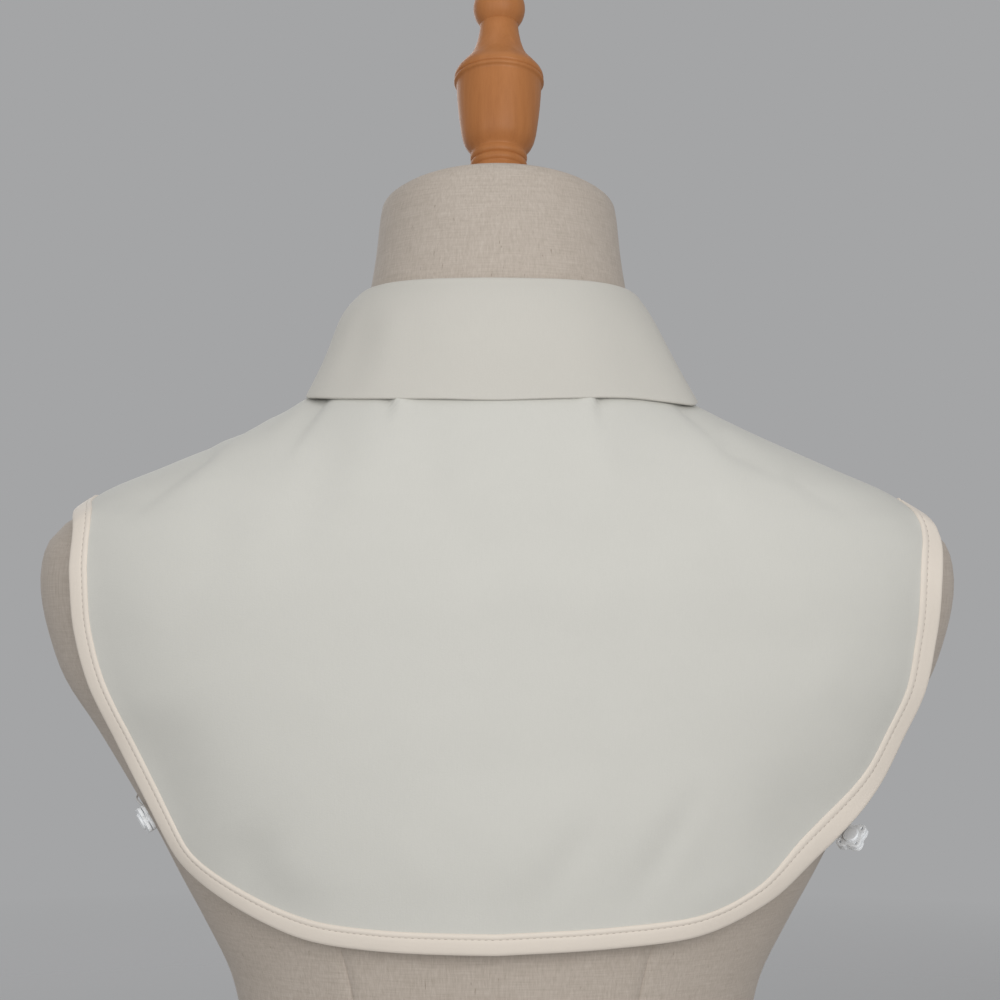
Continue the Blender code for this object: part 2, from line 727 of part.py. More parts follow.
def curve_through(route, steps):
    """Points on a smooth curve through a route."""
    points = []
    for index in range(len(route) - 1):
        before = route[max(index - 1, 0)]
        start, end = route[index], route[index + 1]
        after = route[min(index + 2, len(route) - 1)]
        for step in range(steps):
            t = step / steps
            lead = (end - before) * 0.5 * t * (1 - t) ** 2
            trail = (after - start) * 0.5 * t * t * (t - 1)
            points.append(start.lerp(end, smooth_step(t)) + lead + trail)
    return points + [route[-1]]


def main():
    clear_scene()
    parts = new_collection("detachable_collar")
    cutters = new_collection("cutters")
    linen = new_material("linen", LINEN, 0.85)
    wood = new_material("turned_wood", WOOD, 0.45)
    cream = new_material("cream_cloth", CREAM, 0.8)
    trim = new_material("binding", BINDING_CREAM, 0.6)
    plastic = new_material("white_plastic", WHITE_PLASTIC, 0.35)

    make_form(parts, linen, wood)
    make_bibs(parts, cream, trim)
    make_placket(parts, cream)
    make_stand(parts, cream)
    make_fall(parts, cream)
    make_buttons(parts, cutters, plastic)
    for place in STUDS:
        make_stud(place, parts, cutters, plastic)
        make_loop(place, parts, trim)


main()
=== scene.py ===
import bisect
import math
from functools import lru_cache

import bmesh
import bpy
from mathutils import Matrix, Vector


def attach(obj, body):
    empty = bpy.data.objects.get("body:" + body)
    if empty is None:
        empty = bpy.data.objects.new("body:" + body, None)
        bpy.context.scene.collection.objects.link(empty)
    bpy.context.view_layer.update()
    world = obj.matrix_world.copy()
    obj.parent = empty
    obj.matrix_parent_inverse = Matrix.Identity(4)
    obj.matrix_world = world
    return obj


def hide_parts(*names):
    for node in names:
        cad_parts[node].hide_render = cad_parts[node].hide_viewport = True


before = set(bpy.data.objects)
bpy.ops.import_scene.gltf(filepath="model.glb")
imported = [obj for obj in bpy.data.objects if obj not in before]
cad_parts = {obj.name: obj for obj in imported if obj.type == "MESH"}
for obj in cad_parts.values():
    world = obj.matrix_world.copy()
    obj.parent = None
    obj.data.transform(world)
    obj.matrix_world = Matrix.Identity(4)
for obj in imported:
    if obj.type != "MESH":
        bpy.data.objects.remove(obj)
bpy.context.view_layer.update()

# Sizes are in millimetres and degrees unless a name says otherwise; the scene is in metres.
# "turn" goes round the figure: -90 is centre front, 0 its left side (+X), 90 centre back
# and 180 its right side.
mm = 0.001

# the figure's sections, as in its solids:
# height, forward tilt, half width, reach to the back, reach to the front, centre
formSections = [
    (0, 0, 126, 86, 92, 0), (4, 0, 130.5, 90, 96.5, 0), (30, 0, 132.5, 91.5, 98, 0),
    (60, 0, 131, 91, 98, 0), (90, 0, 126.5, 88, 96.5, 0), (120, 0, 118.5, 82, 94, 0),
    (150, 0, 109, 75, 91, 0), (178, 0, 102.5, 69, 88, 0), (205, 0, 100, 66.5, 86.5, 0),
    (232, 0, 102.5, 66.5, 87, 0), (258, 0, 104.5, 68.5, 89.5, 0), (280, 0, 109.5, 71.5, 93, 0),
    (300, 0, 119.5, 74.5, 97, 0), (320, 0, 130.7, 77.5, 100, 0), (340, 0, 141.5, 80.5, 103, 0),
    (360, 0, 153.5, 83.5, 105, 0), (380, 0, 166, 86, 106, 0), (400, 0, 179.5, 87.5, 105, 0),
    (420, 0, 187, 88, 101, 0), (436, 0, 190.3, 87.5, 96, 0), (448, 0, 190, 86, 91, 0),
    (457, 0, 187, 84.5, 86, 0), (464, 0, 180.5, 83, 81, 0), (469, 0.3, 172.5, 81.5, 76.5, 0.2),
    (476.3, 1, 160.5, 79, 71, 0.5), (485.5, 1.8, 137.8, 75.5, 64, 1),
    (495, 3.3, 114.5, 71, 56.5, 2), (504.5, 5, 93, 65.5, 51.5, 3), (514.5, 7, 74, 59, 49.5, 3.5),
    (525, 9, 65, 53.5, 49.5, 3), (538, 10.8, 60, 51, 50, 1), (555, 12, 55.5, 50, 50, -2),
    (575, 13, 52.3, 50, 50, -6), (594, 13.5, 50.6, 49.2, 49.2, -10.5),
    (598, 13.5, 50, 48.8, 48.8, -11.6), (599.5, 13.5, 48, 47, 47, -12),
]
bust = dict(rise=13.0, halfSpacing=72.0, height=380.0, radius=40.0)
clothClear = 1.6          # the cloth's inner face above the form
seamGap = 0.3
shoulderSeam = 4.0
centreFront = -89.7


def mix(first, second, share):
    return first + (second - first) * share


def smoothStep(value):
    t = min(max(value, 0.0), 1.0)
    return t * t * (3 - 2 * t)


def spread(start, end, count):
    return [mix(start, end, index / (count - 1)) for index in range(count)]


def sine(angle):
    return math.sin(math.radians(angle))


def cosine(angle):
    return math.cos(math.radians(angle))


# a table's row at any value of its first column, on a smooth curve through its rows
def rowAt(rows, value):
    index = min(max(bisect.bisect_left(rows, (value,)) - 1, 0), len(rows) - 2)
    start, end = rows[index], rows[index + 1]
    before, after = rows[max(index - 1, 0)], rows[min(index + 2, len(rows) - 1)]
    step = end[0] - start[0]
    t = (value - start[0]) / step
    rise = t * t * (3 - 2 * t)
    lead = t * (1 - t) ** 2 * step
    trail = t * t * (t - 1) * step
    fields = []
    for column, first in enumerate(start):
        field = first + (end[column] - first) * rise
        field += (end[column] - before[column]) / (end[0] - before[0]) * lead
        field += (after[column] - first) / (after[0] - start[0]) * trail
        fields.append(field)
    return fields


@lru_cache(maxsize=200000)
def sectionAt(height):
    return rowAt(formSections, height)


def bustRise(across, height, bridged):
    aside = abs(across) - bust["halfSpacing"]
    if bridged and aside < 0:
        aside = 0.0
    above = height - bust["height"]
    return bust["rise"] * math.exp(-(aside * aside + above * above) / (2 * bust["radius"] ** 2))


def figurePoint(turn, height, bridged=False):
    height, tilt, halfWidth, back, front, centre = sectionAt(height)
    across, depth = halfWidth * cosine(turn), sine(turn)
    if depth < 0:
        depth = front * depth - bustRise(across, height, bridged) * depth ** 2
    else:
        depth *= back
    return Vector((across, centre + depth * cosine(tilt), height + depth * sine(tilt)))


def outward(turn, height):
    step = 0.4
    around = figurePoint(turn + step, height, True) - figurePoint(turn - step, height, True)
    upward = figurePoint(turn, height + step, True) - figurePoint(turn, height - step, True)
    return around.cross(upward).normalized()


# soft relief of the cloth: start x and height, end x and height,
# breadth on the low-x and on the high-x side, rise
backFolds = [
    (41, 506, 45, 452, 8, 8, 0.6), (-38, 506, -44, 452, 8, 8, 0.6),
    (80, 503, 140, 468, 10, 10, 1.6), (-34, 380, 4, 312, 16, 16, 1.7),
    (-68, 378, -52, 316, 14, 14, 1.2), (88, 344, 70, 314, 13, 13, 1.3),
]
# the same columns; these start at full height, as they come out of a seam or an edge
sharpFolds = [
    (37.6, 515, 38.5, 493, 4.6, 0.8, 2.6), (-35.2, 515, -36, 492, 0.8, 4.4, 2.6),  # tucks
    (40.4, 515, 42, 490, 1, 3.4, -1.5), (-37.8, 515, -39, 490, 3.4, 1, -1.5),
    (67, 509, 88, 476, 2.6, 6, -1.6), (76, 510, 92, 486, 4, 4, 0.9),  # beside the collar
    (99, 500, 130, 473, 2.6, 8, -1.6), (115, 485, 154, 458, 3.2, 10, -1.6),  # left shoulder
    (-72, 504, -94, 485, 4.4, 2.4, -0.9), (-90, 488, -126, 472, 6, 2.8, -0.7),  # right shoulder
    (-117, 478, -150, 458, 8, 4, -0.8), (-92, 496, -112, 486, 4, 3, 0.5),
]
fineFolds = [
    (60, 506, 80, 440, 9, 9, -0.9), (14, 508, 8, 450, 9, 11, 0.6),
    (-18, 508, -22, 450, 12, 12, 0.8), (-52, 508, -76, 444, 10, 11, -1.2),
    (-64, 500, -98, 440, 7, 8, -0.8), (27, 506, 23, 450, 7, 7, -0.5),
    (48, 504, 56, 456, 7, 7, 0.7), (-36, 504, -42, 460, 6, 6, 0.6),
    (100, 474, 112, 430, 9, 9, -0.6), (26, 472, -8, 436, 16, 16, -1),
    (-38, 472, -12, 436, 16, 16, -1),  # shallow V
    (-13, 312, -36, 358, 5, 7, -1.1), (-45, 312, -78, 372, 5, 7, -1.4),  # hem
    (-98, 322, -134, 382, 18, 18, -2.9), (-92, 332, -58, 312, 8, 8, 0.7),
    (136, 396, 114, 334, 17, 17, -2.3), (102, 350, 66, 304, 12, 13, -2.5),
    (40, 372, -60, 362, 15, 15, -0.9), (20, 320, 36, 354, 9, 9, 0.6),
    (-140, 430, -112, 380, 11, 11, 0.7), (138, 452, 128, 400, 12, 12, 0.7),
]
frontFolds = [
    (70, 480, 92, 420, 9, 9, 1), (96, 486, 130, 440, 5, 9, 1), (46, 345, 60, 306, 10, 10, 1.4),
    (92, 350, 84, 316, 9, 9, 1.2), (30, 470, 36, 400, 8, 8, 0.6),
    (120, 400, 134, 352, 10, 10, -0.9), (62, 350, 72, 316, 6, 6, -0.9),
    (52, 492, 88, 440, 5, 8, 0.8), (112, 452, 140, 418, 6, 8, -0.8),
    (24, 392, 56, 378, 10, 10, -0.6), (106, 372, 74, 330, 7, 9, -0.8),
]


def reliefOf(folds, x, height, sharp=False):
    total = 0.0
    for startX, startHeight, endX, endHeight, lowBreadth, highBreadth, rise in folds:
        lineX, lineHeight = endX - startX, endHeight - startHeight
        square = lineX * lineX + lineHeight * lineHeight
        placeX, placeHeight = x - startX, height - startHeight
        along = (placeX * lineX + placeHeight * lineHeight) / square
        if along < -0.2 or along > 1.6:
            continue
        sideX = placeX - along * lineX
        beside = math.hypot(sideX, placeHeight - along * lineHeight)
        breadth = highBreadth if sideX > 0 else lowBreadth
        if beside > 3 * breadth:
            continue
        if sharp:
            fade = smoothStep((along + 0.2) * 5) * smoothStep(1 - along)
        else:
            fade = smoothStep(along * 2.4) * smoothStep((1 - along) * 2)
        total += rise * fade * math.exp(-(beside / breadth) ** 2)
    return total


swayRise = 0.16


# slow uneven waves that keep a large cloth from lying like a board
def clothSway(x, height):
    slow = math.sin(x / 17.0 + height / 41.0) * math.sin(height / 23.0 - x / 60.0)
    quick = math.sin(x / 8.3 - height / 29.0 + 1.3) * math.sin(height / 13.0 + x / 31.0)
    return swayRise * (slow + 0.6 * quick)


# how far the cloth swings off the form below a height, at its sides and its middle
backHang = dict(start=425, length=100, left=5.0, right=12.0, middle=6.5, back=True)
frontHang = dict(start=372, length=70, left=5.0, right=5.0, middle=15.0, back=False)

# the back bib's side edges stand a little off the form, most on the right
edgeFlare = dict(left=3.0, right=5.0, breadth=28.0, low=325.0, high=474.0, lowFade=30, highFade=14)


def flareAt(turn, height, side):
    shape = edgeFlare
    edges = leftBackEdge if side > 0 else rightBackEdge
    if not shape["low"] < height < shape["high"]:
        return 0.0
    levels = [(row[1], row[2]) for row in reversed(edges[1:9])]
    edgeTurn = rowAt(levels, min(max(height, levels[0][0]), levels[-1][0]))[1]
    inside = math.radians(turn - edgeTurn) * sectionAt(height)[2]
    share = min(max(1 - inside / shape["breadth"], 0.0), 1.0)
    fade = smoothStep((height - shape["low"]) / shape["lowFade"])
    fade *= smoothStep((shape["high"] - height) / shape["highFade"])
    return shape["left" if side > 0 else "right"] * fade * share * share


# a point of the cloth; side is -1 on the wearer's right, whose turns are counted from there,
# and fine adds the small folds
def clothPoint(turn, height, lift, hang, side=1, fine=False):
    middle = abs(sine(turn))
    swing = mix(hang["left" if side > 0 else "right"], hang["middle"], middle)
    clear = clothClear + swing * smoothStep((hang["start"] - height) / hang["length"])
    point = figurePoint(turn, height, True)
    x = side * point.x
    if hang["back"]:
        clear += reliefOf(backFolds, x, height)
        if fine:
            clear += reliefOf(fineFolds, x, height) + reliefOf(sharpFolds, x, height, True)
            clear += clothSway(x, height)
    elif fine:
        uneven = 1.0 if side > 0 else 0.8
        clear += uneven * reliefOf(frontFolds, point.x, height) + clothSway(x + 40, height)
    point += outward(turn, height) * (clear + lift)
    if fine and hang["back"]:
        point.y += flareAt(turn, height, side)
    point.x *= side
    return point


# outlines: place along the edge, height, turn
leftBackEdge = [
    (0, 468.3, shoulderSeam), (1, 459.5, 24), (2, 442, 28.4), (3, 417, 27.9), (4, 392, 27.8),
    (5, 367, 26.8), (6, 346, 28.2), (7, 330.5, 31.5), (8, 317.5, 41), (9, 307, 54), (10, 303, 70),
    (11, 302.2, 90),
]
rightBackEdge = [
    (0, 468.3, shoulderSeam), (1, 459.5, 17), (2, 442, 23), (3, 417, 22), (4, 392, 20.2),
    (5, 367, 21), (6, 346.5, 26.8), (7, 331, 34.2), (8, 318.2, 42.8), (9, 308.4, 54.2),
    (10, 304.5, 70), (11, 302.2, 90),
]
frontEdge = [
    (0, 468.3, shoulderSeam - seamGap), (1, 459.5, -12), (2, 442, -22), (3, 417, -25.5),
    (4, 392, -26.5), (5, 368, -26.5), (6, 346, -28), (7, 328.5, -34), (8, 315, -44),
    (9, 306, -57), (10, 302, -72), (11, 301, centreFront),
]
# heights round the neck
neckline = dict(side=531, back=521, front=498)
foldLine = dict(side=556.5, back=549.5, front=531)


def ringHeight(ring, turn):
    depth = sine(turn)
    return mix(ring["side"], ring["back"] if depth > 0 else ring["front"], depth * depth)


# how far the top corner of each armhole comes in, and how far along the edge that reaches
topCorner = dict(ease=3.8, reach=1.6)


# turn and height at a distance in from a bib's edge, square to the edge
def edgePlace(edges, hang, along, inset):
    edge, ahead, behind = (rowAt(edges, along + shift) for shift in (0, 0.02, -0.02))
    tangent = (clothPoint(ahead[2], ahead[1], 0, hang)
               - clothPoint(behind[2], behind[1], 0, hang)).normalized()
    if not hang["back"]:
        tangent.negate()
    turn, height = edge[2], edge[1]
    inset += topCorner["ease"] * smoothStep((topCorner["reach"] - along) / topCorner["reach"])
    strides, probe = 3, 0.2
    for _ in range(strides):
        here = clothPoint(turn, height, 0, hang)
        perTurn = clothPoint(turn + probe, height, 0, hang) - here
        perHeight = clothPoint(turn, height + probe, 0, hang) - here
        turnShare = -perHeight.dot(tangent)
        heightShare = perTurn.dot(tangent)
        stride = (perTurn * turnShare + perHeight * heightShare).length
        scale = probe * inset / strides / stride
        turn += turnShare * scale
        height += heightShare * scale
    return (edge[2] if along in (edges[0][0], edges[-1][0]) else turn), height


def newObject(name, mesh):
    piece = bpy.data.objects.new(name, mesh)
    bpy.context.scene.collection.objects.link(piece)
    return piece


# surface through rows of points; weave holds each point's place on the flat cloth, in mm
def gridPiece(name, rows, weave=None, closed=False, capped=False):
    mesh = bmesh.new()
    layer = mesh.loops.layers.uv.new("weave") if weave else None
    grid = [[mesh.verts.new(point * mm) for point in row] for row in rows]
    count = len(rows[0])
    for upper in range(len(rows) - 1):
        for index in range(count if closed else count - 1):
            after = (index + 1) % count
            corners = [(upper, index), (upper + 1, index), (upper + 1, after), (upper, after)]
            face = mesh.faces.new([grid[r][c] for r, c in corners])
            if weave:
                for loop, (r, c) in zip(face.loops, corners):
                    loop[layer].uv = [value * mm for value in weave[r][c]]
    if capped:
        mesh.faces.new(grid[0])
        mesh.faces.new(grid[-1])
        bmesh.ops.recalc_face_normals(mesh, faces=mesh.faces)
    data = bpy.data.meshes.new(name)
    mesh.to_mesh(data)
    mesh.free()
    data.shade_smooth()
    return newObject(name, data)


def setMode(mode):
    bpy.ops.object.mode_set(mode=mode)


def deselect():
    bpy.ops.object.select_all(action="DESELECT")


def choose(piece):
    deselect()
    piece.select_set(True)
    bpy.context.view_layer.objects.active = piece


def applyAll(piece):
    choose(piece)
    for modifier in list(piece.modifiers):
        bpy.ops.object.modifier_apply(modifier=modifier.name)


def addRounding(piece, width, segments, angle):
    rounding = piece.modifiers.new("round", "BEVEL")
    rounding.width = width * mm
    rounding.segments = segments
    rounding.limit_method = "ANGLE"
    rounding.angle_limit = math.radians(angle)


# thickness, and the raw rim rounded where it is given
def giveWall(piece, wall, offset, rim=0.0):
    solid = piece.modifiers.new("wall", "SOLIDIFY")
    solid.thickness = wall * mm
    solid.offset = offset
    solid.use_even_offset = False
    if rim:
        addRounding(piece, rim, 2, 50)
    applyAll(piece)
    piece.data.shade_smooth()


def arcLengths(points):
    lengths = [0.0]
    for first, second in zip(points, points[1:]):
        lengths.append(lengths[-1] + (second - first).length)
    return lengths


# a strip's places on its flat cloth, from its length at one column and its breadth at one row
def stripWeave(rows, column, row):
    across = arcLengths(rows[row])
    return [[(u, v) for v in across] for u in arcLengths([points[column] for points in rows])]


drape = dict(shoulder=440, fade=50, depth=88, aside=0.41, held=0.8, middle=60, over=0.5)


# place of a bib's point on its flat cloth: threads hang straight down from the shoulders
def drapeWeave(point):
    upper = smoothStep((point.z - drape["shoulder"]) / drape["fade"])
    away = drape["depth"] - abs(point.y)
    side = math.copysign(1, point.x)
    aside = drape["aside"] * away * side * (1 - drape["held"] * upper)
    return (point.x + aside * min(1, abs(point.x) / drape["middle"]),
            point.z + drape["over"] * away * upper)


# a socket of a material's nodes, on which sums can be written
class Wire:
    def __init__(self, tree, socket):
        self.tree, self.socket = tree, socket

    def sums(self, operation, first, second=None):
        return addNode(self.tree, "ShaderNodeMath", {"operation": operation}, first, second)

    def __add__(self, other): return self.sums("ADD", self, other)
    def __radd__(self, other): return self.sums("ADD", other, self)
    def __sub__(self, other): return self.sums("SUBTRACT", self, other)
    def __rsub__(self, other): return self.sums("SUBTRACT", other, self)
    def __mul__(self, other): return self.sums("MULTIPLY", self, other)
    def __rmul__(self, other): return self.sums("MULTIPLY", other, self)
    def __truediv__(self, other): return self.sums("DIVIDE", self, other)
    def __pow__(self, other): return self.sums("POWER", self, other)
    def sine(self): return self.sums("SINE", self)
    def clamp(self): return self.sums("MINIMUM", self.sums("MAXIMUM", self, 0.0), 1.0)


# any node: its settings first, then its sockets by order or by name
def addNode(tree, kind, settings, *inputs, out=0, **named):
    node = tree.nodes.new(kind)
    for key, value in settings.items():
        if key == "stops":
            ramp = node.color_ramp
            while len(ramp.elements) < len(value):
                ramp.elements.new(0.5)
            for element, (place, colour) in zip(ramp.elements, value):
                element.position = place
                element.color = colour
        else:
            setattr(node, key, value)
    pairs = [(node.inputs[index], value) for index, value in enumerate(inputs)]
    pairs += [(node.inputs[key.replace("_", " ")], value) for key, value in named.items()]
    for socket, value in pairs:
        if isinstance(value, Wire):
            tree.links.new(value.socket, socket)
        elif value is not None:
            socket.default_value = value
    return Wire(tree, node.outputs[out])


# a material, its nodes, its shader and the places of its points, on the object or the flat cloth
def newFinish(name, colour, roughness, onCloth=False, **fixed):
    material = bpy.data.materials.new(name)
    material.use_nodes = True
    shader = material.node_tree.nodes["Principled BSDF"]
    shader.inputs["Base Color"].default_value = (*colour, 1)
    shader.inputs["Roughness"].default_value = roughness
    for key, value in fixed.items():
        shader.inputs[key.replace("_", " ")].default_value = value
    material.diffuse_color = (*colour, 1)
    tree = material.node_tree
    return material, tree, shader, addNode(tree, "ShaderNodeTexCoord", {}, out=2 if onCloth else 3)


def feed(shader, socket, wire):
    wire.tree.links.new(wire.socket, shader.inputs[socket])


# height in millimetres, as a bump
def bumped(tree, shader, height):
    feed(shader, "Normal",
         addNode(tree, "ShaderNodeBump", {}, Strength=1.0, Distance=mm, Height=height))


def separate(tree, wire):
    first = addNode(tree, "ShaderNodeSeparateXYZ", {}, wire)
    return [Wire(tree, socket) for socket in first.socket.node.outputs]


# cloud with its grain stretched along the axes
def noise(tree, place, stretch, detail=2.0, roughness=0.5):
    vector = addNode(tree, "ShaderNodeVectorMath", {"operation": "MULTIPLY"}, place, stretch)
    return addNode(tree, "ShaderNodeTexNoise", {}, vector,
                   Scale=1.0, Detail=detail, Roughness=roughness)


# a Mix node's colours are its seventh and eighth sockets
def blendColour(tree, factor, first, second):
    sockets = [factor] + [None] * 5 + [first, second]
    return addNode(tree, "ShaderNodeMix", {"data_type": "RGBA"}, *sockets, out=2)


def rampColour(tree, tone, look):
    stops = [(0.1, (*look["dark"], 1)), (0.5, (*look["middle"], 1)), (0.9, (*look["light"], 1))]
    return addNode(tree, "ShaderNodeValToRGB", {"stops": stops}, tone.clamp())


# layers of noise added up into a tone and a height; each layer is its grains per metre along the
# axes, its detail and roughness, its share of the tone and its rise in millimetres
def grainOf(tree, place, layers):
    tone, height = 0.5, 0.0
    for stretch, detail, roughness, share, rise in layers:
        layer = noise(tree, place, stretch, detail, roughness)
        tone = (layer - 0.5) * share + tone
        height = layer * rise + height if rise else height
    return tone, height


# fine woven cloth on the piece's own flat places
def wovenFinish(name, look):
    material, tree, shader, place = newFinish(name, look["colour"], look["roughness"], onCloth=True,
                                              Sheen_Weight=look["sheen"], Sheen_Roughness=0.5)
    flat = addNode(tree, "ShaderNodeVectorMath", {"operation": "MULTIPLY"}, place, (1000, 1000, 0))
    across, along, _ = separate(tree, flat)
    if look["bias"]:
        diagonal = 0.7071
        across, along = (across + along) * diagonal, (across - along) * diagonal
    turnRate = 2 * math.pi / look["pitch"]
    warp, weft = (across * turnRate).sine(), (along * turnRate).sine()
    crinkle = noise(tree, place, look["crinkle"], detail=3.0, roughness=0.6)
    drift = noise(tree, place, look["drift"])
    threads = noise(tree, place, look["threads"])
    tone = (crinkle - 0.5) * look["toneCrinkle"] + (drift - 0.5) * look["toneDrift"]
    tone = tone + (threads - 0.5) * look["toneThreads"] + warp * weft * look["toneWeave"]
    light = tuple(min(1, c * look["lightest"]) for c in look["colour"])
    dark = tuple(c * look["darkest"] for c in look["colour"])
    colour = blendColour(tree, (tone + 0.5).clamp(), (*dark, 1), (*light, 1))
    feed(shader, "Base Color", colour)
    rise = warp * weft * look["weaveRise"] + (crinkle - 0.5) * look["crinkleRise"]
    bumped(tree, shader, rise + (threads - 0.5) * look["threadRise"])
    return material


# pitch and rises are in millimetres; crinkle, drift and threads are grains per metre
bibLook = dict(colour=(0.622, 0.617, 0.575), lightest=1.18, darkest=0.82, roughness=0.85, sheen=0.1,
               bias=False, pitch=0.5, weaveRise=0.012, crinkle=(900, 1500, 0), crinkleRise=0.05,
               threads=(2600, 160, 0), threadRise=0.025, drift=(38, 55, 0), toneCrinkle=0.13,
               toneDrift=0.09, toneThreads=0.12, toneWeave=0.03)
# the collar's crepe is the bib's cloth made darker and warmer: painted shade, which keeps the
# turned-down collar from coming out brighter than the bib
shadedCollarLook = dict(bibLook, colour=(0.592, 0.575, 0.527))
bindingLook = dict(bibLook, colour=(0.755, 0.685, 0.605), roughness=0.7, sheen=0.15, bias=True,
                   crinkle=(700, 700, 0), threads=(900, 120, 0), threadRise=0.03, toneCrinkle=0.10,
                   toneDrift=0.14, toneThreads=0.08, toneWeave=0.02)


def linenFinish():
    look = dict(dark=(0.40, 0.345, 0.29), middle=(0.475, 0.415, 0.358), light=(0.545, 0.485, 0.425),
                fleck=(0.22, 0.17, 0.13), fleckFrom=0.70, fleckShare=0.55, fleckEdge=14)
    layers = [((1300, 1300, 13), 3.0, 0.6, 0.95, 0.07), ((2600, 2600, 60), 1.0, 0.5, 0.6, 0.05),
              ((90, 90, 2400), 1.0, 0.5, 0.6, 0.05), ((16, 16, 10), 2.0, 0.5, 0.35, 0)]
    material, tree, shader, place = newFinish("slubLinen", look["middle"], 0.9, Sheen_Weight=0.1)
    tone, height = grainOf(tree, place, layers)
    fleck = noise(tree, place, (1100, 1100, 95))
    fleckMask = ((fleck - look["fleckFrom"]) * look["fleckEdge"]).clamp()
    colour = blendColour(tree, fleckMask * look["fleckShare"], rampColour(tree, tone, look),
                         (*look["fleck"], 1))
    feed(shader, "Base Color", colour)
    bumped(tree, shader, height)
    return material


def woodFinish():
    look = dict(dark=(0.34, 0.125, 0.036), middle=(0.42, 0.165, 0.052), light=(0.49, 0.20, 0.068))
    figure = ((160, 160, 14), 4.0, 0.6, 0.9, 0.05)
    layers = [figure, ((30, 30, 22), 2.0, 0.5, 0.5, 0), ((1700, 1700, 90), 2.0, 0.5, 0.25, 0.05)]
    material, tree, shader, place = newFinish("turnedWood", look["middle"], 0.46,
                                              Specular_IOR_Level=0.25)
    tone, height = grainOf(tree, place, layers)
    feed(shader, "Base Color", rampColour(tree, tone, look))
    feed(shader, "Roughness", 0.44 - (noise(tree, place, *figure[:3]) - 0.5) * 0.2)
    bumped(tree, shader, height)
    return material


def plasticFinish():
    material, tree, shader, place = newFinish("whitePlastic", (0.87, 0.89, 0.91), 0.42)
    cloud = noise(tree, place, (300, 300, 300))
    colour = blendColour(tree, cloud, (0.84, 0.86, 0.88, 1), (0.90, 0.92, 0.94, 1))
    feed(shader, "Base Color", colour)
    feed(shader, "Roughness", 0.36 + cloud * 0.14)
    return material


def threadFinish(name, colour):
    material, tree, shader, place = newFinish(name, colour, 0.7, Sheen_Weight=0.2)
    twist = noise(tree, place, (2400, 2400, 2400), detail=1.0)
    dark = tuple(c * 0.8 for c in colour)
    feed(shader, "Base Color", blendColour(tree, twist, (*dark, 1), (*colour, 1)))
    bumped(tree, shader, twist * 0.08)
    return material


creamCloth = wovenFinish("creamCrepe", bibLook)
shadedCollarCloth = wovenFinish("shadedCollarCrepe", shadedCollarLook)
bindingCloth = wovenFinish("biasSatin", bindingLook)
slubLinen = linenFinish()
turnedWood = woodFinish()
whitePlastic = plasticFinish()
sewingThread = threadFinish("sewingThread", (0.66, 0.62, 0.55))
# the topstitch thread is coloured dark brown as painted shade: its dashes stand in for the shadow
# in the stitch holes and the groove they lie in
stitchThreadPaintedShade = threadFinish("stitchThreadPaintedShade", (0.43, 0.36, 0.30))
loopElastic = threadFinish("loopElastic", (0.74, 0.74, 0.74))


# a finished piece: its material, its slot and the solids that it stands for
def settle(piece, material, replaced=()):
    piece.data.materials.clear()
    piece.data.materials.append(material)
    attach(piece, "root")
    if replaced:
        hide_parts(*replaced)
    print("made", piece.name)
    return piece


# seams of the linen cover: height, then the turns of the side seam and of the back and the
# front princess seam
coverSeams = [(0, 0, 58, -58), (120, 0, 58, -58), (205, 0, 56, -57), (300, 0, 60, -60),
              (380, 0, 52, -58), (440, 2, 42, -50), (470, 4, 30, -38), (500, 4, 26, -34),
              (540, 4, 30, -34), (599.5, 4, 30, -34)]
cover = dict(between=22, grooveWidth=0.9, grooveDepth=0.55, seamTop=515, seamFade=20, rowStep=5.0,
             capRings=5, capReach=0.97)


def seamTurns(height):
    _, side, back, front = rowAt(coverSeams, height)
    return [front, side, back, 180 - back, 180 - side, 180 - front]


def coverRow(height):
    halfWidth = sectionAt(height)[2]
    turns = seamTurns(height)
    edges = turns + [turns[0] + 360]
    row = []
    for start, end in zip(edges, edges[1:]):
        half = math.degrees(cover["grooveWidth"] / halfWidth)
        seamed = cover["grooveDepth"] * smoothStep((cover["seamTop"] - height) / cover["seamFade"])
        for turn, depth in ((start, seamed), (start + half, 0.0)):
            row.append(figurePoint(turn, height) - outward(turn, height) * depth)
        for turn in spread(start + half, end - half, cover["between"])[1:]:
            row.append(figurePoint(turn, height))
    return row


def makeForm():
    heights = []
    for low, high in zip(formSections, formSections[1:]):
        count = max(1, round((high[0] - low[0]) / cover["rowStep"]))
        heights += [mix(low[0], high[0], share / count) for share in range(count)]
    heights.append(formSections[-1][0])
    rows = [coverRow(height) for height in heights]
    for end in (0, -1):
        middle = sum(rows[end], Vector()) / len(rows[end])
        rings = [[point.lerp(middle, share) for point in rows[end]]
                 for share in spread(0, cover["capReach"], cover["capRings"] + 1)[1:]]
        rows = list(reversed(rings)) + rows if end == 0 else rows + rings
    form = gridPiece("linenForm", rows, closed=True, capped=True)
    form.data.set_sharp_from_angle(angle=math.radians(60))
    settle(form, slubLinen, ["form_torso"])


makeForm()

finialShape = dict(knobRadius=11.5, knobHeight=98.5, knobFrom=90.4, knobRings=14, sides=72,
                   lean=13.5)
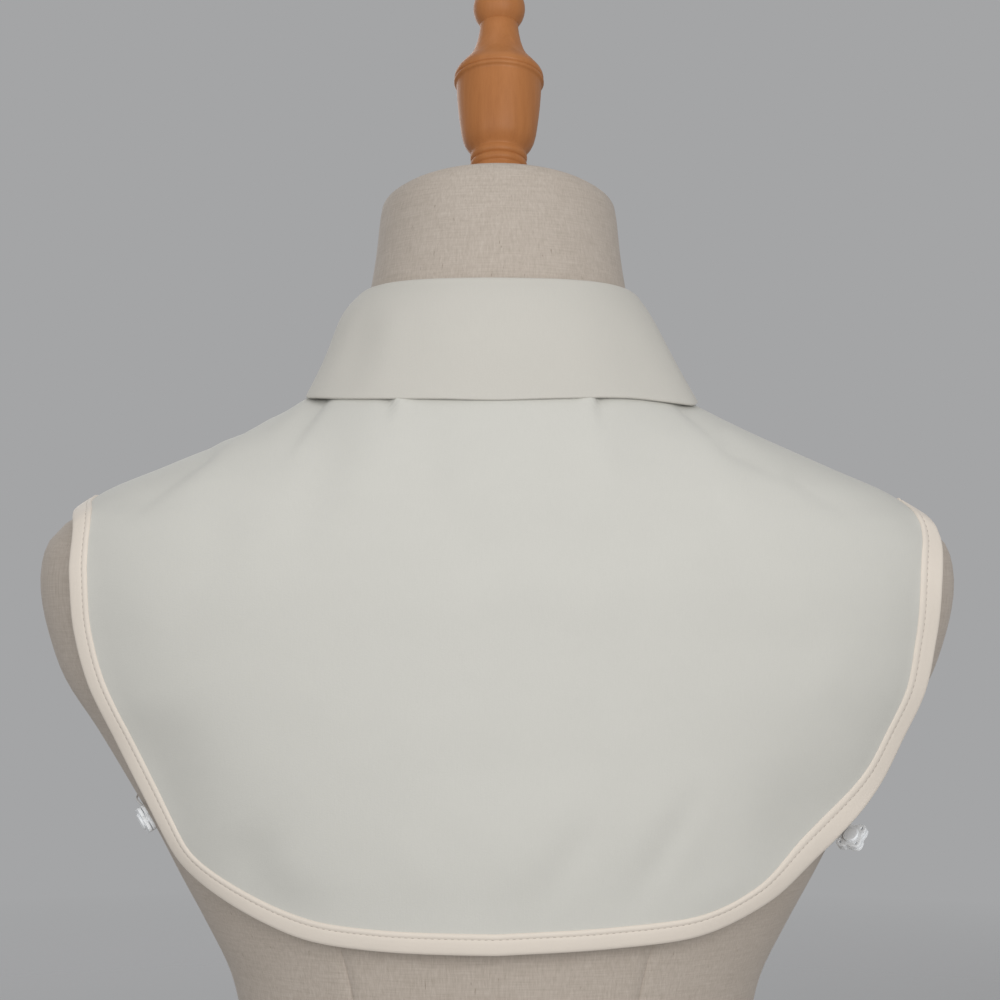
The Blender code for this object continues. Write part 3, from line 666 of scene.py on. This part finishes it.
# radius and height above the neck, from the foot up
finialTurning = [
    (17, 0), (17.6, 1.5), (17, 5), (14.5, 11), (12.2, 17), (11.4, 19), (11.3, 19.6), (11.6, 19.9),
    (12, 20.3), (12.3, 21.2), (12.3, 22.1), (11.9, 23), (11.4, 23.4), (11.7, 23.7), (12.1, 24.1),
    (12.35, 25), (12.3, 26), (12, 26.8), (11.7, 27.3), (12, 27.9), (13, 29.2), (14.3, 31),
    (15.4, 33.3), (16.3, 36.8), (17, 41.7), (17.55, 46.1), (18, 50.5), (18.35, 55), (18.6, 59.6),
    (18.7, 60.7), (19.3, 61), (19.75, 61.6), (19.7, 62.3), (19.2, 62.8), (19.1, 63), (19.5, 63.4),
    (19.6, 64.2), (19.3, 65.4), (18.6, 66.8), (17.5, 68.2), (16.2, 69.8), (14.6, 71.6),
    (13, 73.6), (11.5, 76.2), (10.5, 78.9), (9.7, 81.5), (8.9, 85.5), (8.5, 88.5), (8.5, 90),
]


def makeFinial():
    shape = finialShape
    profile = list(finialTurning)
    low = math.acos((shape["knobFrom"] - shape["knobHeight"]) / shape["knobRadius"])
    for angle in spread(low, 0, shape["knobRings"])[:-1]:
        profile.append((shape["knobRadius"] * math.sin(angle),
                        shape["knobHeight"] + shape["knobRadius"] * math.cos(angle)))
    deselect()
    bpy.ops.mesh.primitive_circle_add(vertices=shape["sides"], radius=profile[0][0] * mm,
                                      fill_type="NGON")
    piece = bpy.context.object
    piece.name = piece.data.name = "woodFinial"
    setMode("EDIT")
    for (radius, height), (nextRadius, nextHeight) in zip(profile, profile[1:]):
        step = (0, 0, (nextHeight - height) * mm)
        bpy.ops.mesh.extrude_region_move(TRANSFORM_OT_translate={"value": step})
        share = nextRadius / radius
        bpy.ops.transform.resize(value=(share, share, 1), center_override=(0, 0, nextHeight * mm))
    bpy.ops.mesh.extrude_region_move(TRANSFORM_OT_translate={"value": (0, 0, 0.1 * mm)})
    bpy.ops.mesh.merge(type="CENTER")
    bpy.ops.mesh.select_all(action="SELECT")
    bpy.ops.mesh.normals_make_consistent(inside=False)
    setMode("OBJECT")
    lean = math.radians(shape["lean"])
    top = formSections[-1]
    foot = Vector((0, top[5], top[0])) + Vector((0, -math.sin(lean), math.cos(lean))) * seamGap
    piece.data.transform(Matrix.Translation(foot * mm) @ Matrix.Rotation(lean, 4, "X"))
    piece.data.shade_smooth()
    piece.data.set_sharp_from_angle(angle=math.radians(65))
    settle(piece, turnedWood, ["finial"])


makeFinial()

bibShape = dict(stations=165, backSteps=128, frontSteps=96, firstStation=0.11, wall=0.75, lift=0.15,
                tuckIn=4.5, seamDip=0.8, seamBreadth=1.5)
# more stations beside the shoulder seam, as shares of the edge
seamStations = [0.0, 0.004, 0.008, 0.013, 0.02, 0.03, 0.045, 0.065, 0.09]


def bibGrid(edges, hang, side):
    shape = bibShape
    last = edges[-1][0]
    places = [last * share ** 2 for share in seamStations]
    places += spread(shape["firstStation"], last, shape["stations"])
    steps = shape["backSteps" if hang["back"] else "frontSteps"]
    rows = []
    for along in places:
        low = edgePlace(edges, hang, along, shape["tuckIn"])
        neckTurn = mix(edges[0][2], edges[-1][2], (along / last) ** 0.5)
        high = (neckTurn, ringHeight(neckline, neckTurn))
        row = []
        for share in spread(0, 1, steps):
            turn, height = mix(low[0], high[0], share), mix(low[1], high[1], share)
            fromSeam = abs(math.radians(turn - edges[0][2])) * sectionAt(height)[3]
            dip = shape["seamDip"] * math.exp(-(fromSeam / shape["seamBreadth"]) ** 2)
            row.append(clothPoint(turn, height, shape["lift"] - dip, hang, side, fine=True))
        rows.append(row)
    return rows


def makeBib(name, rows, replaced):
    weave = [[drapeWeave(point) for point in row] for row in rows]
    piece = gridPiece(name, rows, weave)
    giveWall(piece, bibShape["wall"], 1.0)
    return settle(piece, creamCloth, replaced)


leftRows, rightRows = bibGrid(leftBackEdge, backHang, 1), bibGrid(rightBackEdge, backHang, -1)
backBib = makeBib("backBib", leftRows[:-1] + rightRows[::-1], ["back_bib"])
frontLeft = makeBib("frontBibLeft", bibGrid(frontEdge, frontHang, 1)[::-1], ["front_bib_left"])
frontRight = makeBib("frontBibRight", bibGrid(frontEdge, frontHang, -1), ["front_bib_right"])

bindingShape = dict(stations=170, wall=0.34, stitchInset=6.15, stitchLift=1.45, leftStretch=0.14,
                    rightStretch=0.52, stretchStart=0.5, stretchRise=1.4, stretchEnd=8.5,
                    stretchFall=2.5)
# the folded strip's section: distance in from the edge, and lift off the bib's inner face
bindingSection = [
    (7.4, -0.30), (6, -0.32), (3, -0.34), (1, -0.28), (0.25, 0.05), (0, 0.6), (0.12, 1.1),
    (0.5, 1.48), (1.4, 1.66), (3, 1.74), (4.6, 1.70), (5.5, 1.60), (5.85, 1.50), (6.15, 1.38),
    (6.45, 1.50), (6.8, 1.62), (7.2, 1.62), (7.6, 1.48), (7.95, 1.22), (8.1, 0.98), (8.05, 0.80),
]


# the strip lies wider where the edge is drawn less tightly round the form
def bindingStretch(along, hang, side):
    shape = bindingShape
    if not hang["back"]:
        return 1.0
    most = shape["leftStretch" if side > 0 else "rightStretch"]
    rise = smoothStep((along - shape["stretchStart"]) / shape["stretchRise"])
    return 1 + most * rise * smoothStep((shape["stretchEnd"] - along) / shape["stretchFall"])


def bindingGrid(edges, hang, side):
    rows = []
    for along in spread(0, edges[-1][0], bindingShape["stations"]):
        wide = bindingStretch(along, hang, side)
        row = []
        for inset, lift in bindingSection:
            turn, height = edgePlace(edges, hang, along, inset * wide)
            row.append(clothPoint(turn, height, lift, hang, side, fine=True))
        rows.append(row)
    # the strip's end is closed over the bib's edge
    middle = (rows[0][3] + rows[0][9]) / 2
    rows.insert(0, [point.lerp(middle, 0.85) for point in rows[0]])
    return rows


def makeBinding(name, rows, replaced):
    rows = [row[::-1] for row in rows]
    weave = [[(v, u) for u, v in row] for row in stripWeave(rows, 9, len(rows) // 2)]
    piece = gridPiece(name, rows, weave)
    giveWall(piece, bindingShape["wall"], 0.0)
    return settle(piece, bindingCloth, replaced)


strip = bindingGrid(leftBackEdge, backHang, 1)[:-1] + bindingGrid(rightBackEdge, backHang, -1)[::-1]
backBinding = makeBinding("backBinding", strip, ["back_binding"])
strip = bindingGrid(frontEdge, frontHang, 1)[::-1]
frontBindingLeft = makeBinding("frontBindingLeft", strip, ["front_binding_left"])
strip = bindingGrid(frontEdge, frontHang, -1)
frontBindingRight = makeBinding("frontBindingRight", strip, ["front_binding_right"])

placketShape = dict(width=24.0, wall=0.8, lift=1.35, columns=25, rows=90, aboveHem=9.3,
                    stitchReach=9.5, rim=0.2)


# turn and height of places up the placket, at a distance beside the centre front
def placketPlaces(across, gapBelow, gapAbove):
    low = edgePlace(frontEdge, frontHang, frontEdge[-1][0], placketShape["aboveHem"])[1] + gapBelow
    heights = spread(low, neckline["front"] - gapAbove, placketShape["rows"])
    return [(-90 + math.degrees(math.asin(across / sectionAt(height)[2])), height)
            for height in heights]


def makePlacket():
    shape = placketShape
    rows = []
    for across in spread(-shape["width"] / 2, shape["width"] / 2, shape["columns"]):
        rows.append([clothPoint(turn, height, shape["lift"], frontHang, fine=True)
                     for turn, height in placketPlaces(across, seamGap, seamGap)])
    weave = [[(point.x, point.z) for point in row] for row in rows]
    piece = gridPiece("placketStrip", rows, weave)
    giveWall(piece, shape["wall"], 1.0, shape["rim"])
    return settle(piece, creamCloth, ["front_placket"])


placket = makePlacket()

collar = dict(standWall=1.3, fallWall=1.25, fallLift=3.5, backBow=1.4, leftBow=2.2, rightBow=0.8,
              roll=1.3, overlap=1.9, overlapFrom=236, overlapFade=20)
standShape = dict(start=-99, end=279, columns=190, rows=14, belowFold=2.1, rim=0.35)
fallShape = dict(start=-83, end=263, columns=230, rows=26, rollRows=9, belowFold=0.6, tuckUnder=0.9,
                 rim=0.4)
# turn of the fold, turn and height of the lower edge below it
fallEdgeRows = [
    (-83, -76, 452), (-70, -70.5, 465), (-45, -57, 487), (-20, -31, 504.5), (0, 3, 512.5),
    (20, 32, 507.5), (45, 55.5, 504.4), (68, 74, 503.3), (90, 90, 502.8), (112, 106, 503.7),
    (135, 124.5, 504.8), (158, 145.5, 505), (169, 158, 508), (180, 174, 511), (200, 211, 504),
    (225, 237, 487), (250, 250.5, 465), (263, 256, 452),
]


def overlapLift(turn):
    return collar["overlap"] * smoothStep((turn - collar["overlapFrom"]) / collar["overlapFade"])


def neckFrame(turn, height):
    point = figurePoint(turn, height)
    out = outward(turn, height)
    around = figurePoint(turn + 0.5, height) - figurePoint(turn - 0.5, height)
    return point, out, out.cross(around).normalized()


def makeStand():
    shape = standShape
    rows = []
    for turn in spread(shape["start"], shape["end"], shape["columns"]):
        low = ringHeight(neckline, turn) + seamGap
        high = ringHeight(foldLine, turn) - collar["roll"] - shape["belowFold"]
        row = []
        for height in spread(low, high, shape["rows"]):
            point, out, _ = neckFrame(turn, height)
            row.append(point + out * (clothClear + overlapLift(turn)))
        rows.append(row)
    piece = gridPiece("collarStand", rows, stripWeave(rows, shape["rows"] // 2, 0))
    giveWall(piece, collar["standWall"], 1.0, shape["rim"])
    return settle(piece, shadedCollarCloth, ["collar_stand"])


def fallEdge(turn):
    place = rowAt(fallEdgeRows, turn)[1:]
    return figurePoint(*place, True) + outward(*place) * collar["fallLift"]


# dents of the turned-down collar: turn, breadth in degrees, rise
fallDents = [(38, 7, -0.7), (52, 6, 0.5), (131, 9, -0.5)]


# its small unevenness, fading towards the fold
def fallRelief(turn, share):
    wave = 0.25 * math.sin(turn / 9.0 + 0.6) + 0.2 * math.sin(turn / 4.1 + 2.0)
    dent = sum(rise * math.exp(-((turn - middle) / breadth) ** 2)
               for middle, breadth, rise in fallDents)
    return (wave * (1 - share) + dent * math.sin(math.pi * min(share * 1.15, 1))) * 0.8


def makeFall():
    shape = fallShape
    startOut = clothClear + collar["standWall"] / 2
    rows = []
    for turn in spread(shape["start"], shape["end"], shape["columns"]):
        foldHeight = ringHeight(foldLine, turn) - collar["roll"] - shape["belowFold"]
        base, out, up = neckFrame(turn, foldHeight)
        base += out * (startOut + overlapLift(turn))
        roll = []
        for angle in spread(0, 180, shape["rollRows"]):
            side = collar["roll"] * cosine(angle)
            rise = collar["roll"] * sine(angle)
            roll.append(base + out * (collar["roll"] + side) + up * rise)
        crest, edge = roll[0], fallEdge(turn)
        sideBow = collar["leftBow"] if turn < 90 else collar["rightBow"]
        fullest = mix(collar["backBow"], sideBow, cosine(turn) ** 2)
        row = []
        for share in spread(0, 1, shape["rows"])[:-1]:
            # this curve is 1 at its fullest, four fifths of the way up to the fold
            bow = fullest * 12.2 * share ** 4 * (1 - share)
            row.append(edge.lerp(crest, share) + out * (bow + fallRelief(turn, share)))
        rows.append(row + roll + [base - up * shape["tuckUnder"]])
    piece = gridPiece("collarFall", rows, stripWeave(rows, 0, len(rows) // 2))
    giveWall(piece, collar["fallWall"], 0.0, shape["rim"])
    return settle(piece, shadedCollarCloth, ["collar_fall"])


stand = makeStand()
fall = makeFall()

stitchShape = dict(length=1.7, width=0.42, pitch=2.5, sides=6, rings=4, stations=170, first=0.03)


# lines of stitches; each line is a list of points with the outward way at each
def makeStitches(name, lines):
    shape = stitchShape
    deselect()
    bpy.ops.mesh.primitive_uv_sphere_add(segments=shape["sides"], ring_count=shape["rings"],
                                         radius=0.5)
    single = bpy.context.object
    setMode("EDIT")
    bpy.ops.transform.resize(value=(shape["width"] * mm, shape["width"] * mm, shape["length"] * mm))
    setMode("OBJECT")
    corners = [vertex.co.copy() for vertex in single.data.vertices]
    faces = [tuple(polygon.vertices) for polygon in single.data.polygons]
    bpy.data.objects.remove(single)
    allCorners, allFaces = [], []
    for line in lines:
        lengths = arcLengths([point for point, _ in line])
        place = shape["pitch"] / 2
        index = 0
        while place < lengths[-1]:
            while lengths[index + 1] < place:
                index += 1
            share = (place - lengths[index]) / (lengths[index + 1] - lengths[index])
            (start, out), (end, _) = line[index], line[index + 1]
            way = (end - start).normalized()
            side = out.cross(way).normalized()
            turn = Matrix((side, way.cross(side), way)).transposed()
            centre = start.lerp(end, share) * mm
            base = len(allCorners)
            allCorners += [centre + turn @ corner for corner in corners]
            allFaces += [tuple(base + corner for corner in face) for face in faces]
            place += shape["pitch"]
    data = bpy.data.meshes.new(name)
    data.from_pydata(allCorners, [], allFaces)
    data.shade_smooth()
    return settle(newObject(name, data), stitchThreadPaintedShade)


def stitchLine(edges, hang, side):
    line = []
    for along in spread(stitchShape["first"], edges[-1][0], stitchShape["stations"]):
        inset = bindingShape["stitchInset"] * bindingStretch(along, hang, side)
        turn, height = edgePlace(edges, hang, along, inset)
        out = outward(turn, height)
        out.x *= side
        point = clothPoint(turn, height, bindingShape["stitchLift"], hang, side, fine=True)
        line.append((point, out))
    return line


def placketLine(across):
    lift = placketShape["lift"] + placketShape["wall"]
    return [(clothPoint(turn, height, lift, frontHang, fine=True), outward(turn, height))
            for turn, height in placketPlaces(across, 1.5, 1)]


makeStitches("backStitches", [stitchLine(leftBackEdge, backHang, 1),
                              stitchLine(rightBackEdge, backHang, -1)])
makeStitches("frontStitches", [stitchLine(frontEdge, frontHang, side) for side in (1, -1)])
makeStitches("placketStitches",
             [placketLine(side * placketShape["stitchReach"]) for side in (-1, 1)])

buttonShape = dict(radius=5.2, thick=1.9, base=0.1, rim=0.9, dish=0.55, dishSlope=0.5,
                   edge=0.22, holeRadius=0.6, holeReach=1.5, sides=40, lift=2.75, collarLift=5.6,
                   threadRadius=0.3, threadHeight=1.62, roll=3)
buttonHeights = [468, 418, 368, 322]
cutDepth = 6


def cylinderAt(radius, depth, place, sides):
    deselect()
    bpy.ops.mesh.primitive_cylinder_add(vertices=sides, radius=radius * mm, depth=depth * mm,
                                        location=[value * mm for value in place])
    bpy.ops.object.transform_apply(location=True, rotation=True, scale=True)
    return bpy.context.object


# cuts a round hole along Z, at a distance from the middle and an angle
def carve(piece, radius, reach, angle, sides):
    cutter = cylinderAt(radius, cutDepth, (reach * cosine(angle), reach * sine(angle), 0), sides)
    cut = piece.modifiers.new("carve", "BOOLEAN")
    cut.operation = "DIFFERENCE"
    cut.solver = "EXACT"
    cut.object = cutter
    applyAll(piece)
    bpy.data.objects.remove(cutter)


def roundEdges(piece, width, segments=2):
    addRounding(piece, width, segments, 40)
    applyAll(piece)
    piece.data.shade_smooth()
    piece.data.set_sharp_from_angle(angle=math.radians(50))


def joined(pieces, name):
    choose(pieces[0])
    for piece in pieces[1:]:
        piece.select_set(True)
    bpy.ops.object.join()
    pieces[0].name = pieces[0].data.name = name
    return pieces[0]


# a shallow dish in a piece's flat top, inside a rim
def dishTop(piece, rim, slope, depth):
    choose(piece)
    for polygon in piece.data.polygons:
        polygon.select = polygon.normal.z > 0.9 and polygon.center.z > mm
    setMode("EDIT")
    bpy.ops.mesh.select_mode(type="FACE")
    bpy.ops.mesh.inset(thickness=rim * mm, depth=0)
    bpy.ops.mesh.inset(thickness=slope * mm, depth=-depth * mm)
    setMode("OBJECT")


def makeButtonMesh():
    shape = buttonShape
    middle = (0, 0, shape["thick"] / 2 + shape["base"])
    piece = cylinderAt(shape["radius"], shape["thick"], middle, shape["sides"])
    dishTop(piece, shape["rim"], shape["dishSlope"], shape["dish"])
    for angle in range(45, 360, 90):
        carve(piece, shape["holeRadius"], shape["holeReach"], angle, 14)
    roundEdges(piece, shape["edge"])
    return piece


# two bars of thread through a button's four holes
def makeThreadCross():
    shape = buttonShape
    reach = shape["holeReach"] * 0.707
    bars = []
    for x in (-reach, reach):
        bar = cylinderAt(shape["threadRadius"], 2 * reach, (0, 0, 0), 8)
        bar.data.transform(Matrix.Translation((x * mm, 0, shape["threadHeight"] * mm))
                           @ Matrix.Rotation(math.radians(90), 4, "X"))
        bars.append(bar)
    cross = joined(bars, "threadCross")
    cross.data.shade_smooth()
    return cross


def facing(direction, roll):
    square = direction.to_track_quat("Z", "X").to_matrix().to_4x4()
    return square @ Matrix.Rotation(math.radians(roll), 4, "Z")


def makeButtons():
    shape = buttonShape
    button, cross = makeButtonMesh(), makeThreadCross()
    places = []
    for height in buttonHeights:
        above, point, below = (clothPoint(-90, height + step, shape["lift"], frontHang)
                               for step in (shape["radius"], 0, -shape["radius"]))
        places.append((point, Vector((1, 0, 0)).cross(above - below).normalized()))
    # the collar's button lies on the stand's lapped end
    point, out, _ = neckFrame(-90, (neckline["front"] + foldLine["front"]) / 2 - 2)
    places.append((point + out * shape["collarLift"], out))
    names = ["button_1", "button_2", "button_3", "button_4", "button_collar"]
    for index, ((place, square), node) in enumerate(zip(places, names)):
        turn = Matrix.Translation(place * mm) @ facing(square, shape["roll"] * index)
        for source, label, material, slot, replaced in (
                (button, "shirtButton", whitePlastic, "white_plastic", [node]),
                (cross, "buttonThread", sewingThread, "binding", [])):
            data = source.data.copy()
            data.transform(turn)
            settle(newObject(label + str(index + 1), data), material, replaced)
    for source in (button, cross):
        bpy.data.objects.remove(source)


makeButtons()

studShape = dict(width=10.6, corner=1.9, notch=0.55, notchRadius=2.6, plate=1.35, edge=0.32,
                 space=0.4, eyelet=0.6, eyeletReach=5.1, dome=3.4, domeRise=1.5, domeEdge=0.4,
                 domeRim=1.1, dish=0.25, dishSlope=0.4, ring=4.7, ringEdge=0.12, back=2.4,
                 backThick=0.4, backEdge=0.15)
studPlaces = {
    "left": dict(turn=22.4, height=348.0, lift=6.4,
                 face=(0.82, 0.31, -0.48), along=(-0.51, 0.0, -0.86)),
    "right": dict(turn=160.0, height=343.2, lift=10.0,
                  face=(0.49, 0.58, 0.66), along=(-0.43, -0.50, 0.76)),
}


# a square plate with round corners, a shallow notch in each side and an eyelet in each corner
def makePlate():
    shape = studShape
    deselect()
    bpy.ops.mesh.primitive_cube_add(size=1, location=(0, 0, shape["plate"] / 2 * mm))
    plate = bpy.context.object
    plate.scale = (shape["width"] * mm, shape["width"] * mm, shape["plate"] * mm)
    bpy.ops.object.transform_apply(location=True, rotation=True, scale=True)
    choose(plate)
    setMode("EDIT")
    bpy.ops.mesh.select_mode(type="EDGE")
    bpy.ops.mesh.select_all(action="DESELECT")
    setMode("OBJECT")
    for edge in plate.data.edges:
        first, second = (plate.data.vertices[corner].co for corner in edge.vertices)
        edge.select = abs(first.z - second.z) > 0.5 * mm
    setMode("EDIT")
    bpy.ops.mesh.bevel(offset=shape["corner"] * mm, segments=7, affect="EDGES")
    setMode("OBJECT")
    notchReach = shape["width"] / 2 - shape["notch"] + shape["notchRadius"]
    for angle in range(0, 360, 90):
        carve(plate, shape["notchRadius"], notchReach, angle, 40)
        carve(plate, shape["eyelet"], shape["eyeletReach"], angle + 45, 16)
    roundEdges(plate, shape["edge"], 3)
    return plate


# the stud's middle, with +Z the way its outer plate faces and +X along one of its sides
def studFrame(place):
    point = figurePoint(place["turn"], place["height"])
    point += outward(place["turn"], place["height"]) * place["lift"]
    face = Vector(place["face"]).normalized()
    across = face.cross(Vector(place["along"])).normalized()
    turn = Matrix((across.cross(face), across, face)).transposed().to_4x4()
    return Matrix.Translation(point * mm) @ turn


def makeStud(side):
    place, shape = studPlaces[side], studShape
    home = studFrame(place)
    plate, half = shape["plate"], shape["space"] / 2
    dome = cylinderAt(shape["dome"], shape["domeRise"], (0, 0, plate + 0.3), 40)
    dishTop(dome, shape["domeRim"], shape["dishSlope"], shape["dish"])
    roundEdges(dome, shape["domeEdge"], 4)
    ring = cylinderAt(shape["ring"], shape["space"] + 0.1, (0, 0, -half), 48)
    roundEdges(ring, shape["ringEdge"])
    socket = joined([makePlate(), dome, ring], "studSocket" + side.title())
    socket.data.transform(home @ Matrix.Translation((0, 0, half * mm)))
    settle(socket, whitePlastic, ["stud_" + side + "_socket"])
    back = cylinderAt(shape["back"], shape["backThick"], (0, 0, -0.1), 32)
    roundEdges(back, shape["backEdge"])
    ball = joined([makePlate(), back], "studBall" + side.title())
    ball.data.transform(home @ Matrix.Translation((0, 0, -(half + plate) * mm)))
    settle(ball, whitePlastic, ["stud_" + side + "_ball"])
    return home


def curveThrough(route, steps):
    points = []
    for index in range(len(route) - 1):
        before = route[max(index - 1, 0)]
        start, end = route[index], route[index + 1]
        after = route[min(index + 2, len(route) - 1)]
        for step in range(steps):
            t = step / steps
            lead = (end - before) * 0.5 * t * (1 - t) ** 2
            trail = (after - start) * 0.5 * t * t * (t - 1)
            points.append(start.lerp(end, smoothStep(t)) + lead + trail)
    return points + [route[-1]]


def cordCurve(name, points, radius):
    curve = bpy.data.curves.new(name, "CURVE")
    curve.dimensions = "3D"
    curve.bevel_depth = radius * mm
    curve.bevel_resolution = 3
    curve.use_fill_caps = True
    spline = curve.splines.new("POLY")
    spline.points.add(len(points) - 1)
    for target, point in zip(spline.points, points):
        target.co = (*(point * mm), 1)
    spline.use_smooth = True
    return newObject(name, curve)


# an elastic from its stud's highest eyelet to the front binding; the route's columns are turn,
# height and lift off the form, and its end's are counted from a place along the front edge
loopShape = dict(radius=0.5, eyeletAside=4.0, clear=1.2, end=6.0, endShift=(1.2, 1.0, 0.4),
                 route=[(14, 350.5, 1.6), (4, 351.5, 1.3), (-7, 353, 1.3), (-17, 354, 1.8)])


def makeLoop(side, home):
    shape = loopShape
    sign = 1 if side == "left" else -1
    aside, depth = shape["eyeletAside"], -(studShape["space"] + studShape["plate"]) / 2
    eyelets = [home @ (Vector((x, y, depth)) * mm) / mm
               for x in (-aside, aside) for y in (-aside, aside)]
    start = max(eyelets, key=lambda eyelet: eyelet.z)
    middle = sum(eyelets, Vector()) / len(eyelets)
    start += (start - middle).normalized() * shape["clear"]
    start.x *= sign
    route = [start]
    for turn, height, lift in shape["route"]:
        route.append(figurePoint(turn, height) + outward(turn, height) * lift)
    endTurn, endHeight = edgePlace(frontEdge, frontHang, shape["end"], 0)
    aroundBy, upBy, lift = shape["endShift"]
    route.append(clothPoint(endTurn + aroundBy, endHeight + upBy, lift, frontHang))
    points = curveThrough(route, 8)
    for point in points:
        point.x *= sign
    loop = cordCurve("sideLoop" + side.title(), points, shape["radius"])
    settle(loop, loopElastic, ["side_loop_" + side])
    points[-1] * mm
    arcLengths(points)[-1] * mm


for side in studPlaces:
    makeLoop(side, makeStud(side))

# cut sizes of the cloth in metres and square metres, and how it is held
flatSizes = [
    (backBib, (0.43, 0.26), 0.0776, "draped"),
    (frontLeft, (0.215, 0.275), 0.0404, "draped"),
    (frontRight, (0.215, 0.275), 0.0404, "draped"),
    (placket, (0.024, 0.217), None, "laid"),
    (stand, (0.345, 0.030), None, "stretched"),
    (fall, (0.42, 0.0605), None, "folded"),
    (backBinding, (0.0205, 0.59), None, "folded"),
    (frontBindingLeft, (0.0205, 0.312), None, "folded"),
    (frontBindingRight, (0.0205, 0.312), None, "folded"),
]
for piece, flat, area, held in flatSizes:
    surface = sum(polygon.area for polygon in piece.data.polygons) / 2
    print("sheet", piece.name, "surface", round(surface, 4), "cut", area or flat[0] * flat[1])

# floor, room and light, in metres
studio = dict(floorRadius=2.6, floorColour=(0.44, 0.44, 0.44), clearFrom=0.7, clearOver=1.4,
              room=(0.60, 0.605, 0.615), roomStrength=0.62)


def makeStage():
    deselect()
    bpy.ops.mesh.primitive_circle_add(vertices=96, radius=studio["floorRadius"], fill_type="NGON")
    floor = bpy.context.object
    floor.name = "paleFloor"
    material, tree, shader, place = newFinish("paleFloor", studio["floorColour"], 0.9)
    x, y, _ = separate(tree, place)
    reach = (x * x + y * y) ** 0.5
    feed(shader, "Alpha", 1 - ((reach - studio["clearFrom"]) / studio["clearOver"]).clamp())
    floor.data.materials.append(material)


# name, place, height that it is aimed at, width, height, power, colour
lamps = [
    ("keySoftbox", (-0.75, 1.8, 0.9), 0.42, 1.4, 1.1, 17, (1.0, 0.985, 0.965)),
    ("leftSoftbox", (0.9, 1.7, 0.75), 0.42, 1.5, 1.1, 9.5, (1.0, 0.99, 0.975)),
    ("topSoftbox", (0.2, 0.4, 1.9), 0.42, 1.2, 1.0, 2, (1.0, 0.99, 0.975)),
    ("farFill", (0.6, -1.8, 1.2), 0.4, 1.6, 1.2, 9, (0.98, 0.99, 1.0)),
]


def addLamp(name, place, aim, width, height, power, colour):
    light = bpy.data.lights.new(name, "AREA")
    light.shape = "RECTANGLE"
    light.size, light.size_y = width, height
    light.energy = power
    light.color = colour
    lamp = newObject(name, light)
    lamp.location = place
    lamp.rotation_euler = (Vector((0, 0, aim)) - Vector(place)).to_track_quat("-Z", "Y").to_euler()


def makeRoom():
    room = bpy.context.scene.world = bpy.data.worlds.new("paleRoom")
    room.use_nodes = True
    backdrop = room.node_tree.nodes["Background"]
    backdrop.inputs[0].default_value = (*studio["room"], 1)
    backdrop.inputs[1].default_value = studio["roomStrength"]


makeStage()
makeRoom()
for lamp in lamps:
    addLamp(*lamp)
print("stage and lights set")

cameraPlace = dict(distance=0.800, height=0.433, pitch=3.005, roll=0.2, lens=68.58, shift=0.0025)


# the camera looks at the back, along -Y and a little upwards
def makeCamera():
    camera = bpy.data.cameras.new("viewFromBehind")
    camera.lens = cameraPlace["lens"]
    camera.sensor_width = 36
    camera.shift_x = cameraPlace["shift"]
    camera.clip_start = 0.05
    rig = newObject("viewFromBehind", camera)
    rig.location = (0, cameraPlace["distance"], cameraPlace["height"])
    pitch, roll = math.radians(90 + cameraPlace["pitch"]), math.radians(cameraPlace["roll"])
    turn = Matrix.Rotation(math.pi, 3, "Z") @ Matrix.Rotation(pitch, 3, "X")
    turn = turn @ Matrix.Rotation(roll, 3, "Z")
    rig.rotation_euler = turn.to_euler()
    bpy.context.scene.camera = rig


makeCamera()
bpy.context.scene.view_settings.view_transform = "Standard"
